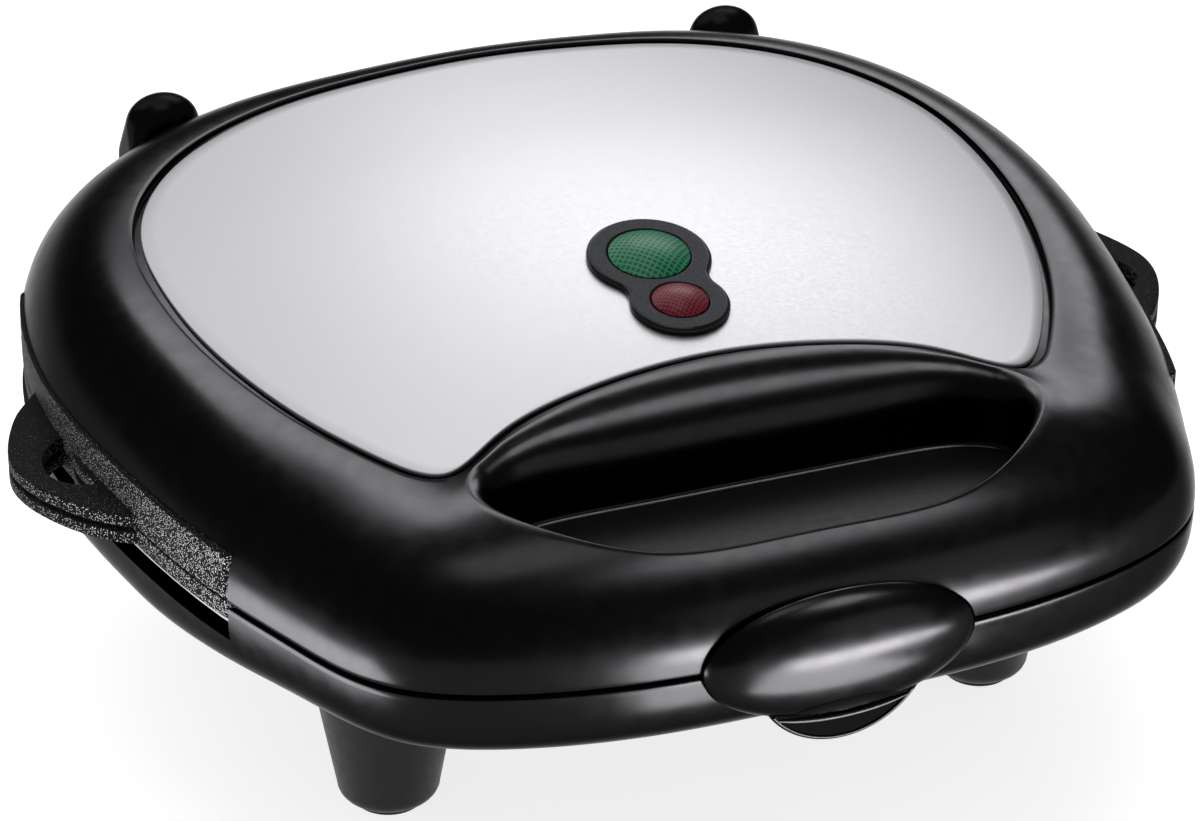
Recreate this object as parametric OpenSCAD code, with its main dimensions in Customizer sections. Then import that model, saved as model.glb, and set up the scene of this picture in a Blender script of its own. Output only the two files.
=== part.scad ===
// Sandwich toaster with a hinged lid: plastic shells, a steel top panel, cast plates with side tabs,
// a hanging front latch and two rear hinges. Millimetres, +Z up, the feet stand on z = 0.
// Positions are given from the middle of the front edge (y grows to the rear); centred() moves the
// finished piece so that the origin lies under the middle of the whole toaster.

/* [Body] */
// Width of the body at its widest point, tabs not counted
body_w = 249; // [235:1:265]
// Depth of the body from the front edge to the rear edge
body_d = 233; // [220:1:250]
// Height of the base's top edge above the table
base_top_z = 64.3; // [60:0.5:70]
// Gap between the base's top edge and the lid's bottom edge
split_gap = 1; // [0.6:0.1:1.6]
// Height of the base shell, from its flat underside to its top edge
base_h = 18.8; // [17.5:0.1:20]
// Distance of the base's flat underside inside the body's outline, at the front and the rear
base_inset = 24; // [22:0.5:26]
// The same distance along the sides, which stand steeper
base_side_inset = 6; // [5:0.5:12]
// Roundness of the base's lower edge at the front and the rear, 2 is an ellipse
base_round = 3; // [2.4:0.1:3.2]
// Roundness of the base's lower edge along the sides
base_side_round = 3.4; // [2.6:0.1:3.6]
// Wall thickness of both shells
wall = 2.5; // [1.8:0.1:3]
// Height of the lid's crown above the table
crown_z = 109; // [105:0.5:114]
// Distance of the lid's crown behind the front edge
crown_y = 165; // [150:1:175]
// Fall of the lid's top towards each side, 100 mm from the middle
fall_side = 12.4; // [10:0.2:13.5]
// Fall of the lid's top towards the front, 90 mm from the crown
fall_front = 8.8; // [7.5:0.2:10]
// Fall of the lid's top towards the rear, 90 mm from the crown
fall_rear = 4; // [0:0.5:6]
// Roundness of the shoulder along the sides and the rear, 2 is an ellipse
shoulder_side = 2; // [1.9:0.05:2.2]
// Roundness of the shoulder along the front
shoulder_front = 2.4; // [2.2:0.05:2.6]

/* [Steel panel] */
// Half width of the panel at its widest point
panel_half_w = 97.6; // [94:0.2:100]
// Distance of the panel's hollow front edge behind the body's front edge
panel_front_y = 68; // [66:0.5:72]
// Distance of the panel's rear edge in front of the body's rear edge
panel_rear_gap = 27; // [24:0.5:33]
// Thickness of the steel sheet
panel_t = 0.8; // [0.6:0.1:1.2]
// Width of the groove between the panel and the shell
groove_w = 1.8; // [1.2:0.1:2.4]
// Depth of the seat below the shell's top surface
seat_depth = 1.6; // [1.4:0.1:2.4]
// Gap left under the panel, filled by its adhesive in use
panel_gap = 0.3; // [0.2:0.05:0.4]

/* [Grip pocket] */
// Half width of the pocket at its front wall's height
pocket_half_w = 58; // [54:0.5:60]
// Distance of the pocket's front wall behind the body's front edge
pocket_front_y = 12; // [11:0.2:14]
// Distance of the pocket's rear wall behind the body's front edge
pocket_rear_y = 50; // [46:0.5:52]
// Height of the pocket's floor above the table
pocket_floor_z = 76; // [75:0.5:79]
// Width of the rolled edge at the rear of the pocket
roll_w = 15.5; // [10:0.5:15.5]
// Drop of the rolled edge at the rear of the pocket
roll_h = 15; // [10:0.5:16]

/* [Lamps] */
// Distance of the green lens behind the front edge
green_y = 101.7; // [99:0.2:104]
// Radius of the green lens
green_r = 9; // [7.5:0.1:9.5]
// Distance of the red lens behind the front edge
red_y = 84.3; // [83:0.2:86]
// Radius of the red lens
red_r = 6.2; // [5:0.1:6.5]
// Width of the bezel's border around each lens
bezel_border = 4.6; // [3.5:0.1:5]
// Height of the bezel's rim above the steel panel
bezel_rise = 1.2; // [0.8:0.1:2]
// Gap between a lens and its hole
lens_gap = 0.15; // [0.1:0.05:0.3]
// Height of each lens's dome
lens_dome = 2.2; // [1.5:0.1:3]

/* [Plates] */
// Distance of the plates' front edge behind the body's front edge
plate_front_y = 61; // [60:0.5:63]
// Distance of the plates' rear edge in front of the body's rear edge
plate_rear_gap = 44; // [43:0.5:48]
// Distance of the plates' side walls inside the body's outline
plate_inset = 0.6; // [0.4:0.1:1.6]
// Radius of the plates' corners
plate_corner = 2; // [1:0.5:6]
// Thickness of each plate's rim
rim_t = 3.6; // [3:0.1:4.2]
// Height of the lower plate's border above the rest of its rim
rim_proud = 0.6; // [0.3:0.1:0.7]
// Gap between the upper plate's side wall and the lid's opening above it
skirt_gap = 0.3; // [0.2:0.1:0.6]
// Thickness of the upper plate's side wall
skirt_t = 2.5; // [2:0.1:3]
// Depth of each toasting hollow
hollow_depth = 7; // [6:0.5:7.5]
// Metal left behind each hollow
hollow_floor = 2.5; // [2:0.1:2.8]
// Width of the ridge that cuts and seals the sandwiches
ridge_w = 5; // [4:0.5:7]
// Reach of each plate's side tab outside the body's widest point
tab_out = 12; // [9:0.5:16]
// Thickness of each side tab
tab_t = 3; // [2.5:0.1:3.4]

/* [Side openings] */
// Gap between the plates' ends and the ends of the side openings
side_gap = 1; // [0.6:0.1:2]
// Height of the side opening above the lid's bottom edge
side_up = 10.7; // [10.3:0.1:12]
// Depth of the side opening below the base's top edge
side_down = 8; // [7:0.1:9]

/* [Heating] */
// Radius of the heating rods
rod_r = 3.1; // [2.6:0.05:3.4]
// Distance of the heating loop's sides inside the dish's walls
loop_in_side = 12; // [8:1:20]
// Distance of the heating loop's front and rear inside the dish's walls
loop_in_end = 18; // [14:1:24]
// Bend radius of the heating loop
loop_bend = 16; // [12:1:22]
// Half distance between the loop's two ends
loop_end_x = 24; // [20:1:28]
// Distance of the reflectors' dish inside the opening in the base's floor, at both sides
dish_gap = 11.5; // [10.5:0.5:16]
// Distance of the dish's front and rear walls inside the plates' edges
dish_in_end = 5; // [4.5:0.5:8]
// Sheet thickness of the reflectors
dish_t = 0.8; // [0.6:0.1:1.2]
// Height of the upper reflector's inside
upper_dish_h = 10.6; // [10.2:0.1:11]

/* [Feet and base] */
// Thickness of the bottom cover
cover_t = 2.5; // [2:0.1:3]
// Half width of the cover's sunk middle, which holds the electrical parts
well_half_w = 48; // [44:0.5:50]
// Depth of the cover's sunk middle
well_h = 10; // [9:0.5:14]
// Distance of the feet inside the body's sides
foot_in_side = 53.8; // [52:0.1:56]
// Distance of the front feet behind the front edge
foot_front_y = 74; // [70:0.5:78]
// Distance of the rear feet in front of the body's rear edge
foot_rear_gap = 57; // [55:0.5:65]
// Radius of a foot near the table
foot_r = 11.2; // [10:0.1:12]
// Radius of a foot where it meets the cover
foot_top_r = 18; // [15:0.5:18.5]
// Radius of a foot's rounded lower edge
foot_edge = 3.5; // [2:0.1:4]
// Thickness of a foot's rubber pad
pad_t = 1.5; // [1:0.1:2.5]
// Radius of the cord inlet's bore
cord_bore_r = 3.3; // [2.8:0.1:3.6]

/* [Hinge] */
// Distance of the hinge axis behind the body's rear edge
hinge_out = 1; // [0:0.5:3]
// Height of the hinge axis above the table
hinge_z = 70; // [69:0.5:72]
// Distance of each hinge from the toaster's middle
hinge_x = 71.8; // [68:0.2:74]
// Radius of the hinge barrels
barrel_r = 8.5; // [7.5:0.1:9]
// Width of a hinge arm
arm_w = 20; // [17:0.5:21]
// Height of a hinge arm's rounded top above the table
arm_top_z = 100.7; // [99:0.2:102]
// Radius of the hinge pins
pin_r = 2.5; // [2:0.1:3]
// Radial clearance of every turning pin
pin_play = 0.05; // [0.02:0.01:0.09]
// Thickness of a hinge bracket's cheek
cheek_t = 4; // [3:0.1:5]

/* [Latch] */
// Half width of the latch's oval grip
grip_half_w = 30.1; // [27:0.1:32]
// Half height of the latch's oval grip
grip_half_h = 14.2; // [12.5:0.1:15]
// Height of the grip's middle above the table
grip_z = 65.2; // [64:0.1:67]
// How far the grip stands out from the body
grip_out = 8.3; // [7:0.1:10]
// Radius of the finger disc behind the grip
disc_r = 19.7; // [18:0.1:21]
// Thickness of the finger disc
disc_t = 2.2; // [1.8:0.1:3]
// Distance of the latch's pivot behind the front edge
latch_y = 8; // [7.5:0.1:8.5]
// Height of the latch's pivot above the table
latch_z = 69.5; // [69.3:0.1:69.8]
// Radius of the latch pin
latch_pin_r = 1.5; // [1.2:0.1:1.7]
// Length of the latch's tongue behind the body's front edge
tongue_reach = 4.5; // [4:0.1:5]

/* [Hidden] */

black = [0.05, 0.05, 0.055];
dark = [0.10, 0.10, 0.11];
steel = [0.74, 0.74, 0.78];
cast = [0.13, 0.13, 0.14];
bright = [0.85, 0.85, 0.85];
ceramic = [0.9, 0.88, 0.82];

// Running clearances between pieces
seat_gap = 0.3;
side_play = 0.4;
cut = 1;

lid_z = base_top_z + split_gap;
cover_top_z = base_top_z - base_h;
cover_z = cover_top_z - cover_t;
ledge_z = base_top_z - side_down;
skirt_h = side_up - skirt_gap;
steps = 4;
half_w = body_w / 2;
rim_w = 3;
panel_rear_y = body_d - panel_rear_gap;
plate_rear_y = body_d - plate_rear_gap;
side_front_y = plate_front_y - side_gap;
side_rear_y = plate_rear_y + side_gap;
dish_half_w = half_w - base_inset - rim_w - dish_gap;
dish_front_y = plate_front_y + dish_in_end;
dish_rear_y = plate_rear_y - dish_in_end;
loop_half_w = dish_half_w - loop_in_side;
loop_front_y = dish_front_y + loop_in_end;
loop_rear_y = dish_rear_y - loop_in_end;
tab_reach = half_w + tab_out;
foot_x = half_w - foot_in_side;
foot_rear_y = body_d - foot_rear_gap;
hinge_y = body_d + hinge_out;
front_y = -grip_out;
rear_y = hinge_y + barrel_r;
centre_y = (front_y + rear_y) / 2;

// Right half of the body's outline, from the middle of the front to the middle of the rear
outline_half = [
    [0, 0], [35, 0.8], [half_w - 58.5, 6.6], [half_w - 34.5, 19.6], [half_w - 22, 43],
    [half_w - 11.5, 72], [half_w - 3.5, 110], [half_w, 150],
    [half_w - 7.5, body_d - 41], [half_w - 26.5, body_d - 14],
    [half_w - 56.5, body_d - 1.5], [34, body_d - 0.4], [0, body_d]
];
// Right half of the steel panel's outline, point for point beside the body's outline
panel_half = [
    [0, panel_front_y], [28, panel_front_y - 2.5], [50, panel_front_y - 8.7], [65, panel_front_y - 15.8],
    [76.8, panel_front_y - 3], [87, 86], [95, 114], [panel_half_w, 142], [94, 169],
    [78, panel_rear_y - 14.5], [52, panel_rear_y - 3.5], [26, panel_rear_y - 1], [0, panel_rear_y]
];
// Right half of the pocket's upright wall, from its front to its rear, with the width and the drop of
// the rolled edge above it
pocket_half = [
    [0, pocket_front_y], [27, pocket_front_y + 0.8], [pocket_half_w - 12, pocket_front_y + 8],
    [pocket_half_w, pocket_front_y + 21], [pocket_half_w - 0.5, pocket_rear_y - 6],
    [pocket_half_w - 13, pocket_rear_y - 0.5], [23, pocket_rear_y], [0, pocket_rear_y]
];
lip_w = 1;
roll_half = [
    [lip_w, lip_w], [lip_w, lip_w], [lip_w, lip_w], [2.5, 3], [roll_w * 0.35, roll_h * 0.4],
    [roll_w * 0.5, roll_h * 0.7], [roll_w * 0.9, roll_h * 0.95], [roll_w, roll_h]
];

function mirrored(half) = concat(half, [for (i = [len(half) - 2:-1:1]) [-half[i][0], half[i][1]]]);
function repeated(half) = concat(half, [for (i = [len(half) - 2:-1:1]) half[i]]);
function spline(a, b, c, d, t) =
    0.5 * (2 * b + (c - a) * t + (2 * a - 5 * b + 4 * c - d) * t * t + (3 * b - a - 3 * c + d) * t * t * t);
function smooth_loop(p, m) = let (n = len(p))
    [for (i = [0:n - 1], k = [0:m - 1])
        spline(p[(i + n - 1) % n], p[i], p[(i + 1) % n], p[(i + 2) % n], k / m)];
function outward(p, i) = let (n = len(p), d = p[(i + 1) % n] - p[(i + n - 1) % n]) [d[1], -d[0]] / norm(d);
function inset(p, d) = [for (i = [0:len(p) - 1]) p[i] - d * outward(p, i)];
function at_height(p, z) = [for (q = p) [q[0], q[1], z]];

// Height of the lid's domed top over a point
function top_z(x, y) = let (f = max(0, crown_y - y) / 90, r = max(0, y - crown_y) / 90)
    crown_z - fall_side * pow(x / 100, 2) - fall_front * f * f - fall_rear * r * r
    + 0.6 * pow(x / 68, 2) * pow(f, 4);

outline = smooth_loop(mirrored(outline_half), steps);
panel_line = smooth_loop(mirrored(panel_half), steps);
seat_line = inset(panel_line, -groove_w);

// The shoulder's roundness changes from the front's to the sides' between these distances
function roundness(p) = let (t = min(1, max(0, (45 - p[1]) / 38)), s = t * t * (3 - 2 * t))
    shoulder_side + (shoulder_front - shoulder_side) * s;
function shoulder_point(c, g, n, a, lift, drop) =
    let (u = 1 - pow(cos(a), 2 / n), v = pow(sin(a), 2 / n), p = c + (g - c) * u)
    [p[0], p[1], lid_z - lift + (top_z(g[0], g[1]) - drop - lid_z + lift) * v];
function shoulder_ring(c, g, a, lift, drop) =
    [for (i = [0:len(c) - 1]) shoulder_point(c[i], g[i], roundness(outline[i]), a, lift, drop)];
function cap_ring(p, k, drop) = let (m = [0, crown_y - 35])
    [for (q = p) let (r = m + (q - m) * k) [r[0], r[1], top_z(r[0], r[1]) - drop]];

// Solid between stacked closed rings, closed by a point at each end
module loft(rings, low, high) {
    n = len(rings[0]);
    m = len(rings);
    points = concat([for (r = rings) each r], [low, high]);
    sides = [for (k = [0:m - 2], i = [0:n - 1])
        let (a = k * n + i, b = k * n + (i + 1) % n) each [[a, a + n, b + n], [a, b + n, b]]];
    floor_fan = [for (i = [0:n - 1]) [m * n, i, (i + 1) % n]];
    roof_fan = [for (i = [0:n - 1]) [m * n + 1, (m - 1) * n + (i + 1) % n, (m - 1) * n + i]];
    polyhedron(points, concat(sides, floor_fan, roof_fan));
}

module centred() translate([0, -centre_y, 0]) children();
// One moulded skin: its curved surfaces are meshed together
module moulded() resize([0, 0, 0]) children();
module both_sides() {
    children();
    mirror([1, 0, 0]) children();
}
module along_x(r, length) rotate([0, 90, 0]) cylinder(r = r, h = length, center = true, $fn = 48);

// ---- Lid shell ----
module lid_body() {
    angles = [0, 9, 18, 28, 38, 48, 58, 68, 79, 90];
    outer = [for (a = angles) shoulder_ring(outline, seat_line, a, 0, 0)];
    seat = [for (k = [1, 0.72, 0.44, 0.18]) cap_ring(seat_line, k, seat_depth)];
    loft(concat(outer, seat), [0, crown_y - 35, lid_z], [0, crown_y - 35, top_z(0, crown_y - 35) - seat_depth]);
}

inner_drop = seat_depth + wall;
module lid_hollow() {
    c = inset(outline, wall);
    g = inset(seat_line, wall * 0.5);
    walls = [for (a = [0, 9, 16, 24, 45, 68, 90]) shoulder_ring(c, g, a, cut, inner_drop)];
    roof = [for (k = [0.66, 0.33]) cap_ring(g, k, inner_drop)];
    middle = crown_y - 35;
    loft(concat(walls, roof), [0, middle, lid_z - cut], [0, middle, top_z(0, middle) - inner_drop]);
}

pocket_wall = smooth_loop(mirrored(pocket_half), steps);
pocket_roll = smooth_loop(repeated(roll_half), steps);
// The front band of the lid's skin, as tables keyed by the distance from the middle along the outline
front_count = 4 * steps;
edge_y = [for (i = [0:front_count]) [outline[i][0], outline[i][1]]];
seat_x = [for (i = [0:front_count]) [outline[i][0], seat_line[i][0]]];
seat_y = [for (i = [0:front_count]) [outline[i][0], seat_line[i][1]]];
seat_edge = [for (i = [0:front_count]) [seat_line[i][0], seat_line[i][1]]];
function band_u(c, y) = min(0.995, max(0, (y - lookup(c, edge_y)) / (lookup(c, seat_y) - lookup(c, edge_y))));
// Distance along the outline of the skin line that passes over a point, found in a few steps
function band_line(x, y, c, turns) = turns == 0 ? c
    : band_line(x, y, c + x - c - (lookup(c, seat_x) - c) * band_u(c, y), turns - 1);
// Height of the lid's front band over a point of the pocket's edge
function band_z(p) = let (x = abs(p[0]), c = band_line(x, p[1], x, 6), n = roundness([c, lookup(c, edge_y)]),
    rise = pow(1 - pow(1 - band_u(c, p[1]), n), 1 / n))
    lid_z + (top_z(lookup(c, seat_x), lookup(c, seat_y)) - lid_z) * rise;

// Outer end of the rolled edge, which stays in front of the panel's seat
function roll_end(w, i) = let (q = w[i] + outward(pocket_wall, i) * pocket_roll[i][0])
    [q[0], min(q[1], lookup(abs(q[0]), seat_edge) - 1.2)];

module pocket(grow) {
    w = inset(pocket_wall, -grow);
    edge = [for (i = [0:len(w) - 1]) roll_end(w, i)];
    level = [for (i = [0:len(w) - 1]) band_z(roll_end(pocket_wall, i))];
    floor_z = pocket_floor_z - grow;
    lowered = [for (a = [0, 35, 65, 90]) [for (i = [0:len(w) - 1])
        let (q = w[i] + (edge[i] - w[i]) * (1 - cos(a)))
        [q[0], q[1], level[i] - grow - pocket_roll[i][1] * (1 - sin(a))]]];
    foot = [at_height(inset(w, 6), floor_z), at_height(inset(w, 2), floor_z + 1.2), at_height(w, floor_z + 5)];
    middle = (pocket_front_y + pocket_rear_y) / 2;
    loft(concat(foot, lowered, [at_height(edge, crown_z + 5)]), [0, middle, floor_z], [0, middle, crown_z + 5]);
}

// The parts of the shells that leave room for the plates' tabs at both sides
module side_openings(low, high) both_sides()
    translate([half_w - 30, side_front_y, low]) cube([40, side_rear_y - side_front_y, high - low]);

arm_slot_w = arm_w + 2 * side_play;
hinge_slot_w = arm_w + 2 * side_play + 2 * cheek_t + 2 * side_play;
barrel_room = barrel_r + 1;
// Room for the hinges, which starts a given distance in front of their axis
module hinge_slots(front) both_sides() {
    translate([hinge_x - hinge_slot_w / 2, hinge_y - front, base_top_z - 12])
        cube([hinge_slot_w, front + barrel_room, 12 + hinge_z - base_top_z + barrel_room]);
    translate([hinge_x - arm_slot_w / 2, arm_front_y - side_play, hinge_z])
        cube([arm_slot_w, 40, arm_top_z - hinge_z + 3]);
}

boss_r = 4;
upper_dish_z = lid_z + skirt_h + seat_gap + upper_dish_h;
dish_mid_y = (dish_front_y + dish_rear_y) / 2;
boss_points = [[loop_half_w - 18, dish_mid_y - 27], [loop_half_w - 18, dish_mid_y + 27]];
arm_screw_y = hinge_y - 24;
arm_foot_z = arm_top_z - 20.7;
arm_foot_t = 3;
module lid_boss(x, y, z) translate([x, y, z]) difference() {
    cylinder(r = boss_r, h = 30, $fn = 24);
    translate([0, 0, -cut]) cylinder(r = screw_r + 0.2, h = 6 + cut, $fn = 16);
}
module lid_bosses() intersection() {
    lid_body();
    both_sides() {
        for (p = boss_points) lid_boss(p[0], p[1], upper_dish_z + dish_t + seat_gap);
        lid_boss(hinge_x, arm_screw_y, arm_foot_z + arm_foot_t + seat_gap);
    }
}

latch_slot_w = 17;
latch_slot_top = 77;
module lid_shell() color(black) centred() moulded() difference() {
    union() {
        difference() {
            lid_body();
            difference() {
                lid_hollow();
                pocket(wall);
            }
        }
        lid_bosses();
    }
    pocket(0);
    side_openings(lid_z - cut, lid_z + side_up);
    hinge_slots(barrel_room + 3);
    translate([-latch_slot_w / 2, -5, lid_z - cut]) cube([latch_slot_w, 12, latch_slot_top - lid_z + cut]);
    lamp_place() translate([0, 0, -15]) linear_extrude(20) offset(delta = 0.3) bezel_neck_shape();
}

// ---- Steel panel and lamps ----
module steel_panel() color(steel) centred() moulded() difference() {
    low = seat_depth - panel_gap;
    high = low - panel_t;
    middle = [0, crown_y - 35];
    under = [for (k = [0.15, 0.4, 0.7, 1]) cap_ring(panel_line, k, low)];
    over = [for (k = [1, 0.7, 0.4, 0.15]) cap_ring(panel_line, k, high)];
    loft(concat(under, over), concat(middle, top_z(0, middle[1]) - low), concat(middle, top_z(0, middle[1]) - high));
    lamp_place() translate([0, 0, -5]) linear_extrude(10) offset(delta = 0.2) bezel_neck_shape();
}

lamp_mid_y = (green_y + red_y) / 2;
lamp_tilt = atan(2 * fall_front * (crown_y - lamp_mid_y) / (90 * 90));
// The lamps' own frame: its x-y plane lies on the panel's top surface between the two lenses
module lamp_place() translate([0, lamp_mid_y, top_z(0, lamp_mid_y) - seat_depth + panel_gap + panel_t])
    rotate([lamp_tilt, 0, 0]) children();
green_pos = (green_y - lamp_mid_y) / cos(lamp_tilt);
red_pos = (red_y - lamp_mid_y) / cos(lamp_tilt);

module bezel_shape(border) offset(r = -6, $fn = 48) offset(r = 6, $fn = 48) {
    translate([0, green_pos]) circle(r = green_r + border, $fn = 64);
    translate([0, red_pos]) circle(r = red_r + border, $fn = 64);
}
// The bezel's neck passes through the panel and the shell, its wider rim lies on the panel
module bezel_neck_shape() bezel_shape(bezel_border - 1.6);
module lens_holes(extra) {
    translate([0, green_pos, -20]) cylinder(r = green_r + extra, h = 30, $fn = 64);
    translate([0, red_pos, -20]) cylinder(r = red_r + extra, h = 30, $fn = 64);
}
bezel_depth = 8;
module lamp_bezel() color(dark) centred() lamp_place() difference() {
    union() {
        translate([0, 0, 0.15]) linear_extrude(bezel_rise) bezel_shape(bezel_border);
        translate([0, 0, -bezel_depth]) linear_extrude(bezel_depth + 0.2) bezel_neck_shape();
    }
    lens_holes(0);
}

// A domed lens with a straight skirt, seated in its hole in the bezel
module lens(r, pos) translate([0, pos, 0]) rotate_extrude($fn = 64) difference() {
    intersection() {
        translate([0, lens_dome + bezel_rise - (r * r + lens_dome * lens_dome) / (2 * lens_dome)])
            circle(r = (r * r + lens_dome * lens_dome) / (2 * lens_dome), $fn = 160);
        translate([0, -bezel_depth]) square([r - lens_gap, bezel_depth + bezel_rise + lens_dome + 1]);
    }
    translate([-1, -bezel_depth - 1]) square([r - lens_gap - 1.5 + 1, bezel_depth + 1]);
}
module green_lens() color([0.02, 0.35, 0.12]) centred() lamp_place() lens(green_r, green_pos);
module red_lens() color([0.45, 0.03, 0.06]) centred() lamp_place() lens(red_r, red_pos);

holder_t = 1.6;
bulb_r = 2.2;
bulb_h = 6;
module lamp_holder() color(ceramic) centred() lamp_place()
    translate([0, 0, -bezel_depth - holder_t]) linear_extrude(holder_t) bezel_neck_shape();
module neon_lamps() color([0.95, 0.6, 0.4]) centred() lamp_place()
    for (pos = [green_pos, red_pos]) translate([0, pos, -bezel_depth]) {
        cylinder(r = bulb_r, h = bulb_h - bulb_r, $fn = 32);
        translate([0, 0, bulb_h - bulb_r]) sphere(r = bulb_r, $fn = 32);
    }

// ---- Plates ----
plate_line = inset(outline, plate_inset);
module between_y(low, high) intersection() {
    children();
    translate([-200, low]) square([400, high - low]);
}
module rounded(r) offset(r = r, $fn = 32) offset(delta = -r) children();
module plate_shape() rounded(plate_corner) between_y(plate_front_y, plate_rear_y) polygon(plate_line);
module plate_border() difference() {
    plate_shape();
    offset(delta = -skirt_t) plate_shape();
}
tub_half_w = dish_half_w - 3;
module tub_shape() rounded(14) translate([-tub_half_w, dish_front_y + 3])
    square([2 * tub_half_w, dish_rear_y - dish_front_y - 6]);

tab_half = [
    [half_w - 24.5, 86], [half_w - 12.5, 88], [tab_reach - 14.5, 98], [tab_reach - 5.5, 109], [tab_reach - 0.3, 122],
    [tab_reach - 1.2, 134], [tab_reach - 6.5, 147], [tab_reach - 16, 160],
    [half_w - 24.5, 168]
];
tab_hole = [
    [tab_reach - 14, 112], [tab_reach - 8, 115.5], [tab_reach - 6.2, 122], [tab_reach - 8.5, 129],
    [tab_reach - 14, 133], [tab_reach - 13, 122]
];
module tab_shape() difference() {
    polygon(smooth_loop(tab_half, steps));
    polygon(smooth_loop(tab_hole, 3));
}

// Two sandwiches, each cut in two triangles by a slanting ridge
module hollow_shapes() both_sides() {
    x0 = ridge_w / 2;
    x1 = tub_half_w - 3;
    y0 = dish_front_y + 7;
    y1 = dish_rear_y - 7;
    r = ridge_w * 0.7;
    rounded(5) polygon([[x0, y0], [x1 - r, y0], [x0, y1 - r]]);
    rounded(5) polygon([[x1, y0 + r], [x1, y1], [x0 + r, y1]]);
}
module plate_tabs(z) both_sides() translate([0, 0, z]) linear_extrude(tab_t) difference() {
    tab_shape();
    polygon(inset(plate_line, 1));
}
tub_h = hollow_depth + hollow_floor;
module lower_plate() color(cast) centred() difference() {
    union() {
        translate([0, 0, base_top_z - rim_t]) linear_extrude(rim_t) plate_shape();
        translate([0, 0, base_top_z - rim_t]) linear_extrude(rim_t + rim_proud) plate_border();
        translate([0, 0, base_top_z - tub_h]) linear_extrude(tub_h - rim_t + 0.5) tub_shape();
        plate_tabs(base_top_z - tab_t);
    }
    translate([0, 0, base_top_z - hollow_depth]) linear_extrude(hollow_depth + cut) hollow_shapes();
}
module upper_plate() color(cast) centred() difference() {
    union() {
        translate([0, 0, lid_z]) linear_extrude(rim_t) plate_shape();
        translate([0, 0, lid_z]) linear_extrude(skirt_h) plate_border();
        translate([0, 0, lid_z + rim_t - 0.5]) linear_extrude(tub_h - rim_t + 0.5) tub_shape();
        plate_tabs(lid_z);
    }
    translate([0, 0, lid_z - cut]) linear_extrude(hollow_depth + cut) hollow_shapes();
}

// ---- Reflectors, heating rods and what carries them ----
module dish_shape(grow) rounded(18) translate([-dish_half_w - grow, dish_front_y - grow])
    square([2 * (dish_half_w + grow), dish_rear_y - dish_front_y + 2 * grow]);
// A reflector's flat rim, with its sides a given distance inside the body's outline
module flange_shape(side) rounded(plate_corner) between_y(plate_front_y + 0.5, plate_rear_y - 0.5)
    polygon(inset(outline, side));
// Dish with its floor at z = 0, its walls upwards and a flat rim around its top
module dish(h, side) difference() {
    union() {
        translate([0, 0, h - dish_t]) linear_extrude(dish_t) flange_shape(side);
        linear_extrude(h) dish_shape(dish_t);
    }
    translate([0, 0, dish_t]) linear_extrude(h) dish_shape(0);
}
lower_rim_z = base_top_z - rim_t - seat_gap;
lower_floor_z = cover_top_z + seat_gap;
lip_t = 1.2;
lip_inset = wall + 4.3;
clip_w = 14;
clip_t = 1;
module lower_reflector() color(bright) centred() difference() {
    union() {
        translate([0, 0, lower_floor_z]) dish(lower_rim_z - lower_floor_z, plate_inset + 0.8);
        translate([0, 0, ledge_z + seat_gap]) linear_extrude(lower_rim_z - ledge_z - seat_gap) difference() {
            flange_shape(lip_inset);
            offset(delta = -lip_t) flange_shape(lip_inset);
            translate([-clip_w / 2 - 0.5, 0]) square([clip_w + 1, body_d]);
        }
    }
    rod_end_holes(lower_rod_z);
    both_sides() for (p = dish_screw_points) translate([p[0], p[1], lower_floor_z - cut])
        cylinder(r = screw_r + 0.3, h = dish_t + 2 * cut, $fn = 32);
}
module upper_reflector() color(bright) centred() difference() {
    translate([0, 0, upper_dish_z + dish_t]) mirror([0, 0, 1]) dish(upper_dish_h + dish_t, lip_inset);
    rod_end_holes(upper_rod_z);
    both_sides() for (p = boss_points) translate([p[0], p[1], upper_dish_z - cut])
        cylinder(r = screw_r + 0.3, h = dish_t + 2 * cut, $fn = 32);
}

lower_rod_z = base_top_z - tub_h - seat_gap - rod_r;
bushing_r = rod_r + 1;
bushing_flange = 0.8;
upper_rod_z = lid_z + skirt_h + seat_gap + dish_t + bushing_r + bushing_flange + seat_gap;
rod_end_y = dish_rear_y + 7;
module rod_end_holes(z) both_sides() translate([loop_end_x, dish_rear_y - 5, z]) rotate([-90, 0, 0])
    cylinder(r = bushing_r + 0.1, h = 12, $fn = 48);
module rod_run(a, b) translate([a[0], a[1], 0]) rotate([90, 0, atan2(b[1] - a[1], b[0] - a[0]) + 90])
    cylinder(r = rod_r, h = norm(b - a), $fn = 32);
module rod_bend(c, from) translate([c[0], c[1], 0]) rotate([0, 0, from])
    rotate_extrude(angle = 90, $fn = 64) translate([loop_bend, 0]) circle(r = rod_r, $fn = 32);
// Loop of heating rod that starts and ends side by side at the rear
module rod_loop() {
    b = loop_bend;
    x = loop_half_w;
    e = loop_end_x;
    rod_run([-x + b, loop_front_y], [x - b, loop_front_y]);
    both_sides() {
        rod_bend([x - b, loop_front_y + b], -90);
        rod_run([x, loop_front_y + b], [x, loop_rear_y - b]);
        rod_bend([x - b, loop_rear_y - b], 0);
        rod_run([x - b, loop_rear_y], [e + b, loop_rear_y]);
        rod_bend([e + b, loop_rear_y + b], 180);
        rod_run([e, loop_rear_y + b], [e, rod_end_y]);
    }
}
module lower_heating_rod() color([0.45, 0.4, 0.36]) centred() translate([0, 0, lower_rod_z]) rod_loop();
module upper_heating_rod() color([0.45, 0.4, 0.36]) centred() translate([0, 0, upper_rod_z]) rod_loop();

bracket_points = [[loop_half_w, (loop_front_y + loop_rear_y) / 2], [30, loop_front_y]];
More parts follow.
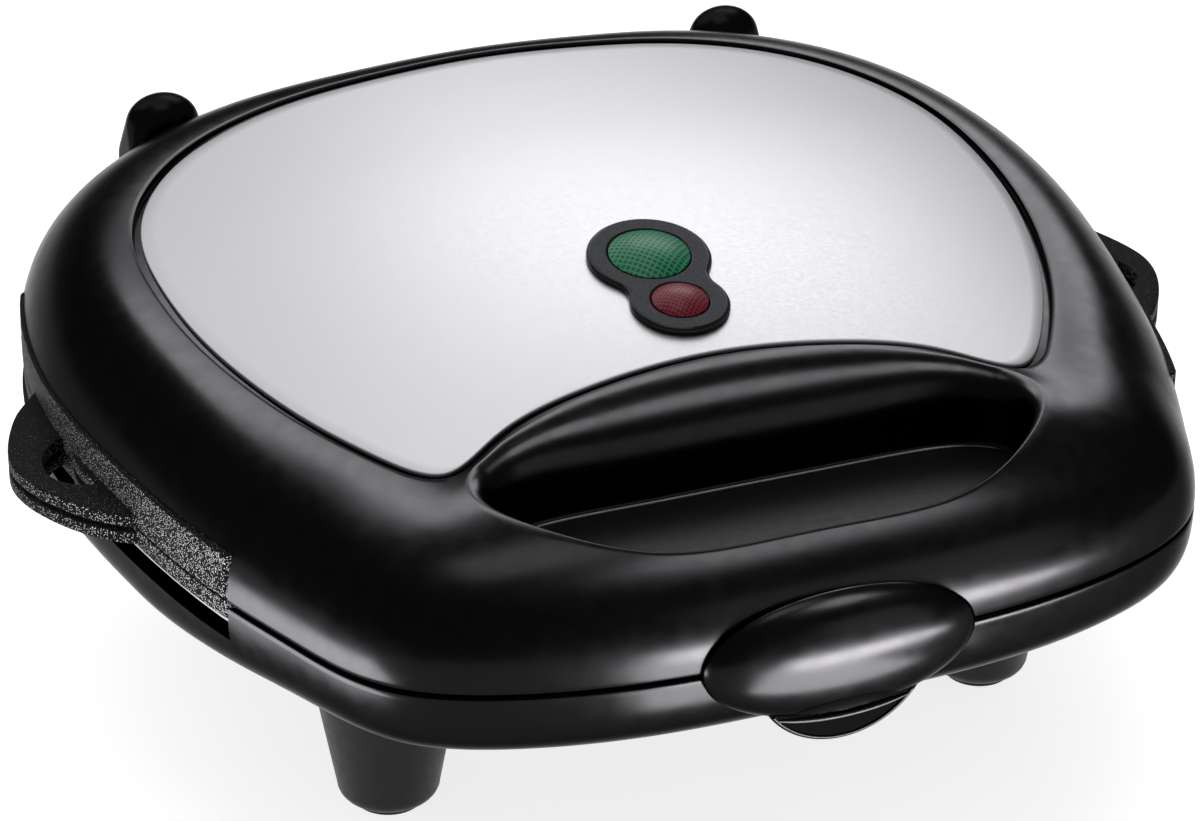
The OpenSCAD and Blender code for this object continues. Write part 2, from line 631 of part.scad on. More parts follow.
// Posts between the rods and the reflector's floor
module rod_brackets(low, high) both_sides() for (p = bracket_points)
    translate([p[0] - 4, p[1] - 4, low]) cube([8, 8, high - low]);
module lower_rod_brackets() color(bright) centred()
    rod_brackets(lower_floor_z + dish_t, lower_rod_z - rod_r - 0.05);
module upper_rod_brackets() color(bright) centred()
    rod_brackets(upper_rod_z + rod_r + 0.05, upper_dish_z);

module rod_bushings(z) both_sides() translate([loop_end_x, dish_rear_y - 1, z]) rotate([-90, 0, 0]) difference() {
    union() {
        cylinder(r = bushing_r, h = 6, $fn = 48);
        translate([0, 0, 1 + dish_t + 0.1]) cylinder(r = bushing_r + bushing_flange, h = 2, $fn = 48);
    }
    translate([0, 0, -cut]) cylinder(r = rod_r + 0.05, h = 8 + cut, $fn = 48);
}
module lower_rod_bushings() color(ceramic) centred() rod_bushings(lower_rod_z);
module upper_rod_bushings() color(ceramic) centred() rod_bushings(upper_rod_z);

// Strip that runs past the plate's edge and folds over the reflector's rim
module clip(y, toward, low, high, fold_z) {
    y0 = toward > 0 ? y - seat_gap - clip_t : y + seat_gap;
    translate([-clip_w / 2, y0, low]) cube([clip_w, clip_t, high - low]);
    translate([-clip_w / 2, toward > 0 ? y0 : y0 - 3, fold_z]) cube([clip_w, clip_t + 3, clip_t]);
}
module lower_plate_clips() color(bright) centred() {
    z = lower_rim_z - dish_t - clip_t;
    clip(plate_front_y, 1, z, base_top_z - 1, z);
    clip(plate_rear_y, -1, z, base_top_z - 1, z);
}
upper_rim_z = lid_z + skirt_h + seat_gap + dish_t;
module upper_plate_clips() color(bright) centred() {
    clip(plate_front_y, 1, lid_z + 1, upper_rim_z + clip_t, upper_rim_z);
    clip(plate_rear_y, -1, lid_z + 1, upper_rim_z + clip_t, upper_rim_z);
}

screw_r = 1.5;
screw_head_r = 3;
screw_head_h = 1.8;
// Screw with its head's flat face at z = 0 and its shank upwards
module screw(length) {
    cylinder(r = screw_r, h = length, $fn = 24);
    translate([0, 0, -screw_head_h]) difference() {
        cylinder(r = screw_head_r, h = screw_head_h, $fn = 32);
        translate([-0.4, -2, -cut]) cube([0.8, 4, cut + 0.7]);
        translate([-2, -0.4, -cut]) cube([4, 0.8, cut + 0.7]);
    }
}
dish_screw_points = [[loop_half_w - 16, dish_mid_y - 23], [loop_half_w - 16, dish_mid_y + 23]];
module lower_reflector_screws() color(bright) centred() both_sides() for (p = dish_screw_points)
    translate([p[0], p[1], lower_floor_z + dish_t]) mirror([0, 0, 1]) screw(3.4);
module upper_reflector_screws() color(bright) centred() both_sides() for (p = boss_points)
    translate([p[0], p[1], upper_dish_z]) screw(6);

// ---- Base shell ----
ledge_w = 5.5;
ledge_t = 3;
ledge_root = 0.5;
// The sides' steeper form begins and is full at these distances behind the front, and fades before the rear
steep_start_y = 22;
steep_full_y = 98;
steep_fade = 48;
function eased(t) = let (u = min(1, max(0, t))) u * u * (3 - 2 * u);
function steepness(p) = eased((p[1] - steep_start_y) / (steep_full_y - steep_start_y))
    * eased((body_d - p[1]) / steep_fade);
function between(a, b, share) = a + (b - a) * share;
function base_point(i, a, t) = let (s = steepness(outline[i]), k = 2 / between(base_round, base_side_round, s),
    deep = t + (between(base_inset, base_side_inset, s) - t) * (1 - pow(sin(a), k)))
    concat(outline[i] - deep * outward(outline, i), base_top_z - (base_h - t) * pow(cos(a), k));
// Ring of the base's rounded side, a degrees up from its flat underside, inside it by a thickness t
function base_ring(a, t) = [for (i = [0:len(outline) - 1]) base_point(i, a, t)];
module base_body() {
    rings = [for (a = [0, 8, 18, 30, 42, 54, 66, 78, 90]) base_ring(a, 0)];
    middle = [0, body_d / 2];
    loft(rings, concat(middle, cover_top_z), concat(middle, base_top_z));
}
module base_hollow() {
    rings = [for (a = [10, 25, 40, 55, 70, 90]) base_ring(a, wall)];
    opening = inset(outline, base_inset + rim_w);
    middle = [0, body_d / 2];
    loft(concat([at_height(opening, cover_top_z - cut), at_height(opening, cover_top_z + wall)], rings,
        [at_height(inset(outline, wall), base_top_z + cut)]),
        concat(middle, cover_top_z - cut), concat(middle, base_top_z + cut));
}
tongue_low = 54;
tongue_t = 3;
tongue_w = 14;
tongue_slot_low = tongue_low - 1;
tongue_slot_high = tongue_low + tongue_t + 2.6;
bracket_screw_y = hinge_y - 33;
bracket_front = 16;
cover_boss_points = [[30, 30], [hinge_x, bracket_screw_y]];
cover_boss_top = hinge_z - 17.8;
module cover_bosses(r, extra) both_sides() for (p = cover_boss_points)
    translate([p[0], p[1], cover_top_z - extra])
        cylinder(r = r, h = cover_boss_top - cover_top_z + 2 * extra, $fn = 24);
// Shelves along both sides that carry the lower reflector's rim
module side_ledges() translate([0, 0, ledge_z - ledge_t]) linear_extrude(ledge_t)
    between_y(side_front_y - 2, side_rear_y + 2) difference() {
        polygon(inset(outline, wall - ledge_root));
        polygon(inset(outline, wall + ledge_w));
    }
bush_r = cord_bore_r + 1.3;
bush_flange = 2;
bush_z = base_top_z - 7.3;
module base_shell() color(black) centred() moulded() difference() {
    union() {
        difference() {
            base_body();
            base_hollow();
        }
        cover_bosses(boss_r, 0);
        side_ledges();
    }
    cover_bosses(screw_r + 0.2, cut);
    side_openings(ledge_z, base_top_z + cut);
    hinge_slots(bracket_front + 1);
    translate([-tongue_w / 2 - 0.6, -5, tongue_slot_low])
        cube([tongue_w + 1.2, 14, tongue_slot_high - tongue_slot_low]);
    translate([0, body_d - 12, bush_z]) rotate([-90, 0, 0]) cylinder(r = bush_r + 0.15, h = 20, $fn = 48);
}

// ---- Bottom cover, feet and electrics ----
vent_w = 2.5;
vent_count = 7;
well_front_y = 84;
well_rear_y = body_d - 32;
foot_places = [[-foot_x, foot_front_y], [foot_x, foot_front_y], [-foot_x, foot_rear_y], [foot_x, foot_rear_y]];
module well_shape(grow) rounded(10) translate([-well_half_w - grow, well_front_y - grow])
    square([2 * (well_half_w + grow), well_rear_y - well_front_y + 2 * grow]);
module bottom_cover() color(black) centred() difference() {
    union() {
        translate([0, 0, cover_z]) linear_extrude(cover_t) polygon(inset(outline, base_inset));
        translate([0, 0, cover_z - well_h]) linear_extrude(well_h + 0.5) well_shape(0);
    }
    translate([0, 0, cover_z - well_h + cover_t]) linear_extrude(well_h + cover_t) well_shape(-cover_t);
    for (i = [0:vent_count - 1], s = [-1, 1])
        translate([s * 26 - 14, well_front_y + 30 + i * 3 * vent_w, cover_z - well_h - cut])
            cube([28, vent_w, cover_t + 2 * cut]);
    for (p = foot_places) translate([p[0], p[1], cover_z - cut])
        cylinder(r = screw_r + 0.1, h = cover_t + 2 * cut, $fn = 32);
    both_sides() for (p = concat(cover_boss_points, dish_screw_points)) translate([p[0], p[1], cover_z - cut])
        cylinder(r = screw_r + 0.2, h = cover_t + 2 * cut, $fn = 32);
}

foot_seat = 6;
module foot(p) color(black) centred() translate([p[0], p[1], 0]) difference() {
    rotate_extrude($fn = 64) polygon(concat(
        [[0, pad_t], [foot_r - foot_edge, pad_t]],
        [for (a = [-75:15:0]) [foot_r - foot_edge + foot_edge * cos(a), pad_t + foot_edge + foot_edge * sin(a)]],
        [[foot_top_r, cover_z], [0, cover_z]]));
    cylinder(r = screw_head_r + 0.4, h = cover_z - foot_seat, $fn = 48);
    cylinder(r = screw_r + 0.2, h = cover_z + cut, $fn = 32);
}
module front_left_foot() foot(foot_places[0]);
module front_right_foot() foot(foot_places[1]);
module rear_left_foot() foot(foot_places[2]);
module rear_right_foot() foot(foot_places[3]);
module foot_pads() color(dark) centred() for (p = foot_places) translate([p[0], p[1], 0])
    cylinder(r = foot_r - foot_edge - 0.2, h = pad_t, $fn = 64);
module foot_screws() color(bright) centred() for (p = foot_places)
    translate([p[0], p[1], cover_z - foot_seat]) screw(foot_seat + cover_t - 0.3);
module cover_screws() color(bright) centred() both_sides() for (p = cover_boss_points)
    translate([p[0], p[1], cover_z]) screw(5);

module cord_bush() color(dark) centred() translate([0, 0, bush_z]) rotate([-90, 0, 0]) difference() {
    union() {
        translate([0, 0, body_d - 11]) cylinder(r = bush_r, h = 13, $fn = 64);
        translate([0, 0, body_d + 0.2]) cylinder(r = bush_r + 1.4, h = bush_flange, $fn = 64);
        translate([0, 0, body_d - 10.5]) cylinder(r = bush_r + 1, h = bush_flange, $fn = 64);
    }
    translate([0, 0, body_d - 20]) cylinder(r = cord_bore_r, h = 30, $fn = 64);
}

block_w = 32;
block_d = 12;
block_h = 9;
block_y = well_rear_y - 29;
block_z = cover_z - well_h + cover_t;
module terminal_block() color(ceramic) centred() translate([-block_w / 2, block_y - block_d / 2, block_z])
    difference() {
        cube([block_w, block_d, block_h - 1]);
        for (i = [0:2]) translate([block_w * (i + 0.5) / 3, block_d / 2, block_h - 4])
            cylinder(r = 2, h = 5, $fn = 32);
    }

stat_r = 8;
stat_h = 5;
stat_y = 125;
module thermostat() color([0.75, 0.73, 0.7]) centred() translate([0, stat_y, lower_floor_z - stat_h]) {
    difference() {
        cylinder(r = stat_r, h = stat_h, $fn = 48);
        translate([0, 0, -cut]) cylinder(r = 2, h = cut + 1, $fn = 32);
    }
    both_sides() translate([stat_r - 1, -2, 1]) cube([5, 4, 1]);
}
fuse_r = 2;
fuse_len = 20;
fuse_x = 34;
module thermal_fuse() color([0.7, 0.62, 0.4]) centred() translate([fuse_x, stat_y, lower_floor_z - fuse_r]) {
    rotate([90, 0, 0]) cylinder(r = fuse_r, h = fuse_len, center = true, $fn = 32);
    translate([-4, -3, -fuse_r]) difference() {
        cube([8, 6, 2 * fuse_r]);
        translate([4, -cut, fuse_r]) rotate([-90, 0, 0]) cylinder(r = fuse_r, h = 6 + 2 * cut, $fn = 32);
    }
}

wire_r = 0.9;
end_gap = 0.6;
module wire_run(a, b) translate(a) rotate([0, acos((b[2] - a[2]) / norm(b - a)), atan2(b[1] - a[1], b[0] - a[0])])
    cylinder(r = wire_r, h = norm(b - a), $fn = 24);
// Lead through a row of points, with a ball at each bend
module wire(points) {
    for (i = [0:len(points) - 2]) wire_run(points[i], points[i + 1]);
    for (i = [1:len(points) - 2]) translate(points[i]) sphere(r = wire_r + 0.05, $fn = 24);
}
module base_wires() color([0.75, 0.75, 0.72]) centred() both_sides() {
    stat_z = lower_floor_z - stat_h + 1 - wire_r - 0.1;
    wire([[stat_r + 2.5, stat_y, stat_z], [stat_r + 2.5, block_y - 20, block_z + 4],
        [block_w / 3, block_y - block_d / 2 - end_gap, block_z + 4]]);
    wire([[loop_end_x, rod_end_y + 0.1, lower_rod_z], [loop_end_x, rod_end_y + 4, lower_rod_z],
        [loop_end_x - 4, rod_end_y + 2, block_z + 5], [block_w / 3, block_y + block_d / 2 + end_gap, block_z + 4]]);
}
module lid_wires() color([0.75, 0.75, 0.72]) centred() both_sides() {
    roof_z = upper_dish_z + dish_t + 2;
    wire([[loop_end_x, rod_end_y + 0.1, upper_rod_z], [loop_end_x, rod_end_y + 4, upper_rod_z],
        [loop_end_x - 4, rod_end_y + 4, roof_z], [8, 110, roof_z], [5, green_y, roof_z + 2.5]]);
}

// ---- Hinges ----
arm_knob_r = 7;
arm_top_y = hinge_y - 6.5;
arm_front_y = arm_top_y - arm_knob_r;
module hinge_arm(side) color(black) centred() translate([side * hinge_x, 0, 0]) difference() {
    union() {
        hull() {
            translate([0, arm_top_y, arm_top_z - arm_knob_r]) scale([1.25, 1, 1]) sphere(r = arm_knob_r, $fn = 32);
            translate([0, arm_top_y, arm_top_z - arm_knob_r - 10])
                cube([arm_w - 1, 2 * arm_knob_r - 1, 2], center = true);
            translate([0, hinge_y - 2, hinge_z + 5]) cube([arm_w, 2, 2], center = true);
        }
        translate([0, hinge_y, hinge_z]) along_x(barrel_r, arm_w);
        translate([-arm_w / 2 + 1, arm_screw_y - 5, arm_foot_z])
            cube([arm_w - 2, arm_front_y - arm_screw_y + 8, arm_foot_t]);
    }
    translate([0, hinge_y, hinge_z]) along_x(pin_r + pin_play, arm_w + 2 * cut);
    translate([0, arm_screw_y, arm_foot_z - cut]) cylinder(r = screw_r + 0.2, h = arm_foot_t + 2 * cut, $fn = 32);
}
module hinge_arm_left() hinge_arm(-1);
module hinge_arm_right() hinge_arm(1);

cheek_x = arm_w / 2 + side_play;
bracket_foot_z = cover_boss_top + seat_gap;
bracket_foot_t = 4;
module cheek() rotate([90, 0, 90]) linear_extrude(cheek_t) union() {
    translate([hinge_y, hinge_z]) circle(r = barrel_r - 1, $fn = 64);
    polygon([[hinge_y - barrel_r + 1, hinge_z], [hinge_y + barrel_r - 1, hinge_z],
        [hinge_y - 6, bracket_foot_z + 2], [hinge_y - bracket_front, bracket_foot_z], [hinge_y - bracket_front, hinge_z - 11]]);
}
module base_hinge(side) color(black) centred() translate([side * hinge_x, 0, 0]) difference() {
    union() {
        for (x = [cheek_x, -cheek_x - cheek_t]) translate([x, 0, 0]) cheek();
        translate([-cheek_x - cheek_t, hinge_y - bracket_front, bracket_foot_z]) cube([2 * (cheek_x + cheek_t), 6, bracket_foot_t]);
        translate([-6, bracket_screw_y - 5, bracket_foot_z])
            cube([12, hinge_y - bracket_front - bracket_screw_y + 6, bracket_foot_t]);
    }
    translate([0, hinge_y, hinge_z]) along_x(pin_r + 0.02, 2 * (cheek_x + cheek_t + cut));
    translate([0, bracket_screw_y, bracket_foot_z - cut])
        cylinder(r = screw_r + 0.2, h = bracket_foot_t + 2 * cut, $fn = 32);
}
module base_hinge_left() base_hinge(-1);
module base_hinge_right() base_hinge(1);
module hinge_pins() color(bright) centred() both_sides() translate([hinge_x, hinge_y, hinge_z])
    along_x(pin_r, 2 * (cheek_x + cheek_t));
module base_hinge_screws() color(bright) centred() both_sides()
    translate([hinge_x, bracket_screw_y, bracket_foot_z + bracket_foot_t]) mirror([0, 0, 1]) screw(6);
module hinge_arm_screws() color(bright) centred() both_sides()
    translate([hinge_x, arm_screw_y, arm_foot_z]) screw(arm_foot_t + 5);

// ---- Latch ----
catch_w = 24;
catch_t = 2;
catch_y = wall + 0.75;
module latch_catch() color(bright) centred()
    translate([-catch_w / 2, catch_y, tongue_slot_high + 0.1]) cube([catch_w, catch_t, 3.6]);

lever_w = 14;
lever_gap = 6;
boss_out_r = 3;
grip_back = 0.4;
disc_top_z = grip_z + 8;
module latch_disc(grow) intersection() {
    translate([0, -grip_back, grip_z]) rotate([90, 0, 0]) cylinder(r = disc_r + grow, h = disc_t + grow, $fn = 96);
    translate([-50, -50, 0]) cube([100, 100, disc_top_z + grow]);
}
module latch_lever() color(black) centred() difference() {
    union() {
        for (x = [lever_gap / 2, -lever_w / 2]) translate([x, 0, 0]) rotate([90, 0, 90])
            linear_extrude((lever_w - lever_gap) / 2) union() {
                translate([latch_y, latch_z]) circle(r = boss_out_r, $fn = 48);
                translate([-grip_back, latch_z - 3]) square([latch_y + grip_back, 6]);
            }
        translate([-tongue_w / 2, -grip_back, tongue_low]) cube([tongue_w, tongue_reach + grip_back, tongue_t]);
        latch_disc(0);
    }
    translate([0, latch_y, latch_z]) along_x(latch_pin_r + pin_play, lever_w + 2 * cut);
}
grip_centre_y = 0.6;
finger_y = -7.5;
finger_z = grip_z - grip_half_h - 0.5;
// Half an ellipsoid, flat behind, seated around the disc and hollowed below for a fingertip
module latch_grip() color(black) centred() moulded() difference() {
    translate([0, grip_centre_y, grip_z])
        scale([grip_half_w, grip_out + grip_centre_y, grip_half_h]) sphere(r = 1, $fn = 64);
    translate([-50, -grip_back, 0]) cube([100, 50, 200]);
    latch_disc(0.1);
    translate([0, finger_y, finger_z]) scale([20, 5, 7.5]) sphere(r = 1, $fn = 48);
}
bracket_cheek_t = 3;
bracket_x = latch_slot_w / 2 + 0.2;
module latch_bracket() color(dark) centred() difference() {
    for (x = [bracket_x, -bracket_x - bracket_cheek_t])
        translate([x, 0, 0]) rotate([90, 0, 90]) linear_extrude(bracket_cheek_t) union() {
            translate([latch_y, latch_z]) circle(r = boss_out_r, $fn = 48);
            translate([wall + 1.4, latch_z - 3]) square([latch_y - wall - 1.4, 6]);
        }
    translate([0, latch_y, latch_z]) along_x(latch_pin_r + 0.02, 60);
}
module latch_pin() color(bright) centred() translate([0, latch_y, latch_z])
    along_x(latch_pin_r, 2 * (bracket_x + bracket_cheek_t));
spring_wire = 0.6;
spring_turns = 4;
module latch_spring() color(bright) centred() translate([0, latch_y, latch_z]) rotate([0, 90, 0])
    translate([0, 0, -spring_turns * spring_wire * 0.9]) rotate_extrude($fn = 48) union() {
        for (i = [0:spring_turns - 1]) translate([latch_pin_r + 0.2 + spring_wire, (i * 2 + 1) * spring_wire * 0.9])
            circle(r = spring_wire, $fn = 24);
    }

base_shell();
bottom_cover();
front_left_foot();
front_right_foot();
rear_left_foot();
rear_right_foot();
foot_pads();
foot_screws();
cover_screws();
cord_bush();
terminal_block();
thermostat();
thermal_fuse();
base_wires();
lower_reflector();
lower_heating_rod();
lower_rod_brackets();
lower_rod_bushings();
lower_plate();
lower_plate_clips();
latch_catch();
base_hinge_left();
base_hinge_right();
hinge_pins();
base_hinge_screws();
lower_reflector_screws();
lid_shell();
steel_panel();
lamp_bezel();
green_lens();
red_lens();
lamp_holder();
neon_lamps();
upper_plate();
upper_plate_clips();
upper_reflector();
upper_heating_rod();
upper_rod_brackets();
upper_rod_bushings();
upper_reflector_screws();
hinge_arm_screws();
lid_wires();
hinge_arm_left();
hinge_arm_right();
latch_bracket();
latch_pin();
latch_spring();
latch_lever();
latch_grip();
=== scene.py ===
"""Sandwich toaster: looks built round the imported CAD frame.

Lengths are in millimetres and turned to metres where meshes are made. Plan positions are given from
the middle of the body's front edge, y growing to the rear, as in the part's source; MID_Y moves them
into the shared frame.
"""
import math

import bmesh
import bpy
import numpy as np
from mathutils import Matrix, Vector


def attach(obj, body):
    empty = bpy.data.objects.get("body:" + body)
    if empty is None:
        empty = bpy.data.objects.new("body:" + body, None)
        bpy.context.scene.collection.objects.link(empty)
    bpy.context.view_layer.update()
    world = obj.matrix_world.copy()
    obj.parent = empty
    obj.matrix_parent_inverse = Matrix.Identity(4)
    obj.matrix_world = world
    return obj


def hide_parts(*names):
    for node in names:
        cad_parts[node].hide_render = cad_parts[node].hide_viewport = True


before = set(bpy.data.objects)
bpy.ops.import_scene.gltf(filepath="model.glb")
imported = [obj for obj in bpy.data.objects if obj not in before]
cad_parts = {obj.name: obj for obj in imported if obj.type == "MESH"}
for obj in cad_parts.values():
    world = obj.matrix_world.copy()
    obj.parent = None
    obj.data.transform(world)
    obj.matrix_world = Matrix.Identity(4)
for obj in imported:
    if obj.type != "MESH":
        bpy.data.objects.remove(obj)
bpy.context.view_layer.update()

MM = 0.001
MID_Y = 117.1

# Depth of the body, heights of its two shells, and the base's lower edge, as in the part's source
BODY_D = 233.0
BASE_TOP = 64.3
LID_Z = 65.3
BASE_H = 18.8
BASE_INSET = 24.0
BASE_SIDE_INSET = 6.0
BASE_ROUND = 3.0
BASE_SIDE_ROUND = 3.4
# The base's sides stand steeper between these distances behind the front, and less again at the rear
STEEP_START_Y = 22.0
STEEP_FULL_Y = 98.0
STEEP_FADE = 48.0
# The lid's dome: its highest point, how far it falls away from there, and its shoulder's roundness
CROWN_Z = 109.0
CROWN_Y = 165.0
CROWN_SPAN = 90.0
FALL_SIDE = 12.4
FALL_FRONT = 8.8
FALL_REAR = 4.0
ROUND_SIDE = 2.0
ROUND_FRONT = 2.4
ROUND_FRONT_Y = 45.0
ROUND_FADE = 38.0
FRONT_SWELL = 0.6
FRONT_SWELL_X = 68.0
# Walls, side cut-outs, the panel's seat and the hinge slots
WALL = 2.5
LEDGE_Z = 56.3
SIDE_FRONT_Y = 60.0
SIDE_REAR_Y = 190.0
SIDE_TOP_Z = 76.0
GROOVE_W = 1.8
SEAT_DEPTH = 1.6
PANEL_GAP = 0.3
PANEL_T = 0.8
HINGE_X = 71.8
HINGE_SLOT_HALF = 14.8

# Right halves of the outlines, from the middle of the front to the middle of the rear
OUTLINE_HALF = [
    (0, 0), (35, 0.8), (66, 6.6), (90, 19.6), (102.5, 43), (113, 72), (121, 110),
    (124.5, 150), (117, 192), (98, 219), (68, 231.5), (34, 232.6), (0, 233),
]
PANEL_HALF = [
    (0, 68), (28, 65.5), (50, 59.2), (65, 52.2), (76.8, 65), (87, 86), (95, 114),
    (97.6, 142), (94, 169), (78, 191.5), (52, 202.5), (26, 205), (0, 206),
]
# Right half of the grip recess's wall, with the width and the drop of the rolled edge above it
RECESS_HALF = [
    (0, 12), (27, 12.8), (46, 20), (58, 33), (57.5, 44), (45, 49.5), (23, 50), (0, 50),
]
ROLL_HALF = [
    (1, 1), (1, 1), (1, 1), (2.5, 3), (5.4, 6), (7.8, 10.5), (14, 14.3), (15.5, 15),
]
RECESS_FLOOR = 76.0
RECESS_FILLET = 1.4


# ---- Curves ----

def mirrored(half):
    """The whole closed loop of a right half, anticlockwise seen from above."""
    left = [(-x, y) for x, y in half[-2:0:-1]]
    return np.array(half + left, float)


def repeated(half):
    return np.array(half + half[-2:0:-1], float)


class Loop:
    """A smooth closed curve through points, one unit of t from point to point."""

    def __init__(self, points):
        self.p = np.asarray(points, float)
        n = len(self.p)
        system = np.eye(n) * 4 + np.roll(np.eye(n), 1, axis=0) + np.roll(np.eye(n), -1, axis=0)
        rise = 3 * (np.roll(self.p, -1, axis=0) - np.roll(self.p, 1, axis=0))
        self.d = np.linalg.solve(system, rise)
        self.n = n

    def parts(self, t):
        t = np.asarray(t, float) % self.n
        i = np.floor(t).astype(int) % self.n
        u = (t - np.floor(t))[..., None]
        j = (i + 1) % self.n
        return self.p[i], self.p[j], self.d[i], self.d[j], u

    def at(self, t):
        a, b, da, db, u = self.parts(t)
        h = u * u * (3 - 2 * u)
        return a + (b - a) * h + da * (u * (1 - u) ** 2) - db * (u * u * (1 - u))

    def along(self, t):
        a, b, da, db, u = self.parts(t)
        return (b - a) * (6 * u * (1 - u)) + da * (1 - 4 * u + 3 * u * u) + db * (3 * u * u - 2 * u)

    def out(self, t):
        """Unit normals pointing out of the loop."""
        d = self.along(t)
        d = d / np.linalg.norm(d, axis=-1, keepdims=True)
        return np.stack([d[..., 1], -d[..., 0]], -1)

    def inset(self, t, distance):
        return self.at(t) - self.out(t) * distance


outline = Loop(mirrored(OUTLINE_HALF))
# The parameter t runs once round in TURN, from the middle of the front by the right side and the rear
TURN = outline.n
# About how far one unit of t goes along the front
FRONT_MM_PER_T = 31.0
panel_line = Loop(mirrored(PANEL_HALF))
recess_line = Loop(mirrored(RECESS_HALF))
recess_roll = Loop(repeated(ROLL_HALF))


def eased(t):
    u = np.clip(t, 0, 1)
    return u * u * (3 - 2 * u)


def seat_line(t):
    return panel_line.inset(t, -GROOVE_W)


def top_z(p):
    """Height of the lid's dome over plan points."""
    x, y = p[..., 0], p[..., 1]
    front = np.maximum(0, CROWN_Y - y) / CROWN_SPAN
    rear = np.maximum(0, y - CROWN_Y) / CROWN_SPAN
    swell = FRONT_SWELL * (x / FRONT_SWELL_X) ** 2 * front ** 4
    return CROWN_Z - FALL_SIDE * (x / 100) ** 2 - FALL_FRONT * front ** 2 - FALL_REAR * rear ** 2 + swell


def roundness(t):
    """Exponent of the lid's shoulder, softer along the front."""
    front = eased((ROUND_FRONT_Y - outline.at(t)[..., 1]) / ROUND_FADE)
    return ROUND_SIDE + (ROUND_FRONT - ROUND_SIDE) * front


def skin_point(t, u):
    """Point of the lid's skin on line t, a share u of the way in to the panel's seat."""
    c = outline.at(t)
    g = seat_line(t)
    n = roundness(t)
    rise = (1 - (1 - u) ** n) ** (1 / n)
    plan = c + (g - c) * np.asarray(u)[..., None]
    return np.concatenate([plan, (LID_Z + (top_z(g) - LID_Z) * rise)[..., None]], -1)


def share_at_height(t, z):
    """The share u at which skin line t reaches a height."""
    n = roundness(t)
    rise = (z - LID_Z) / (top_z(seat_line(t)) - LID_Z)
    return 1 - (1 - rise ** n) ** (1 / n)


def skin_over(plan):
    """Skin points over plan points of the front band, by a few Newton steps."""
    t = plan[:, 0] / FRONT_MM_PER_T
    u = np.full(len(plan), 0.5)
    step = 1e-4
    for _ in range(30):
        here = skin_point(t, u)[:, :2]
        miss = plan - here
        dt = (skin_point(t + step, u)[:, :2] - here) / step
        du = (skin_point(t, u + step)[:, :2] - here) / step
        det = dt[:, 0] * du[:, 1] - dt[:, 1] * du[:, 0]
        move_t = (miss[:, 0] * du[:, 1] - miss[:, 1] * du[:, 0]) / det
        move_u = (dt[:, 0] * miss[:, 1] - dt[:, 1] * miss[:, 0]) / det
        t = t + np.clip(move_t, -0.4, 0.4)
        u = np.clip(u + np.clip(move_u, -0.2, 0.2), 0.0, 0.999)
    return skin_point(t, u)


def loop_params(count, marks):
    """Even parameters round the outline, with each mark in place of its nearest neighbours."""
    gap = TURN / count
    even = np.arange(count) * gap
    marks = np.array(sorted(m % TURN for m in marks))
    apart = np.abs((even[:, None] - marks[None, :] + TURN / 2) % TURN - TURN / 2).min(axis=1)
    return np.sort(np.concatenate([even[apart > 0.45 * gap], marks]))


def param_where(axis, value, low, high):
    """Parameter between two limits at which the outline reaches a coordinate."""
    t = np.linspace(low, high, 4001)
    v = outline.at(t)[:, axis]
    return float(t[np.argmin(np.abs(v - value))])


# ---- Mesh helpers ----

def to_frame(points):
    """Metres in the shared frame of points given in plan millimetres."""
    p = np.asarray(points, float).copy()
    p[..., 1] -= MID_Y
    return p * MM


def placed(name, data):
    """A new object in the scene."""
    obj = bpy.data.objects.new(name, data)
    bpy.context.scene.collection.objects.link(obj)
    return obj


def level(plan, z):
    """Points at one height over plan points."""
    return np.c_[plan, np.full(len(plan), z)]


def mesh_object(name, points, faces):
    mesh = bpy.data.meshes.new(name)
    mesh.from_pydata([tuple(p) for p in to_frame(points)], [], [tuple(map(int, f)) for f in faces])
    mesh.update()
    mesh.shade_smooth()
    return placed(name, mesh)


def tidy_mesh(obj, merge=1e-6):
    """Joins matching vertices and turns all the faces outwards."""
    bm = bmesh.new()
    bm.from_mesh(obj.data)
    bmesh.ops.remove_doubles(bm, verts=bm.verts, dist=merge)
    bmesh.ops.recalc_face_normals(bm, faces=bm.faces)
    bm.to_mesh(obj.data)
    bm.free()
    return obj


def finished_mesh(obj):
    """A copy of an object's mesh as its modifiers or its curve's bevel leave it."""
    depsgraph = bpy.context.evaluated_depsgraph_get()
    return bpy.data.meshes.new_from_object(obj.evaluated_get(depsgraph))


def apply_modifiers(obj):
    mesh = finished_mesh(obj)
    obj.modifiers.clear()
    obj.data = mesh


def join(objects, name):
    """One object with the meshes of several."""
    bm = bmesh.new()
    for obj in objects:
        bm.from_mesh(obj.data)
    mesh = bpy.data.meshes.new(name)
    bm.to_mesh(mesh)
    bm.free()
    for obj in objects:
        bpy.data.objects.remove(obj)
    return placed(name, mesh)


def soft_edges(obj, angle=35):
    """Smooth shading, with edges sharper than an angle kept crisp."""
    obj.data.shade_smooth()
    obj.data.set_sharp_from_angle(angle=math.radians(angle))
    return obj


def bevel(obj, width, segments, angle):
    mod = obj.modifiers.new("bevel", "BEVEL")
    mod.width = width * MM
    mod.segments = segments
    mod.limit_method = "ANGLE"
    mod.angle_limit = math.radians(angle)
    mod.harden_normals = False


def cut_away(obj, cutter):
    mod = obj.modifiers.new("cut", "BOOLEAN")
    mod.operation = "DIFFERENCE"
    mod.object = cutter
    mod.solver = "EXACT"
    apply_modifiers(obj)
    bpy.data.objects.remove(cutter)


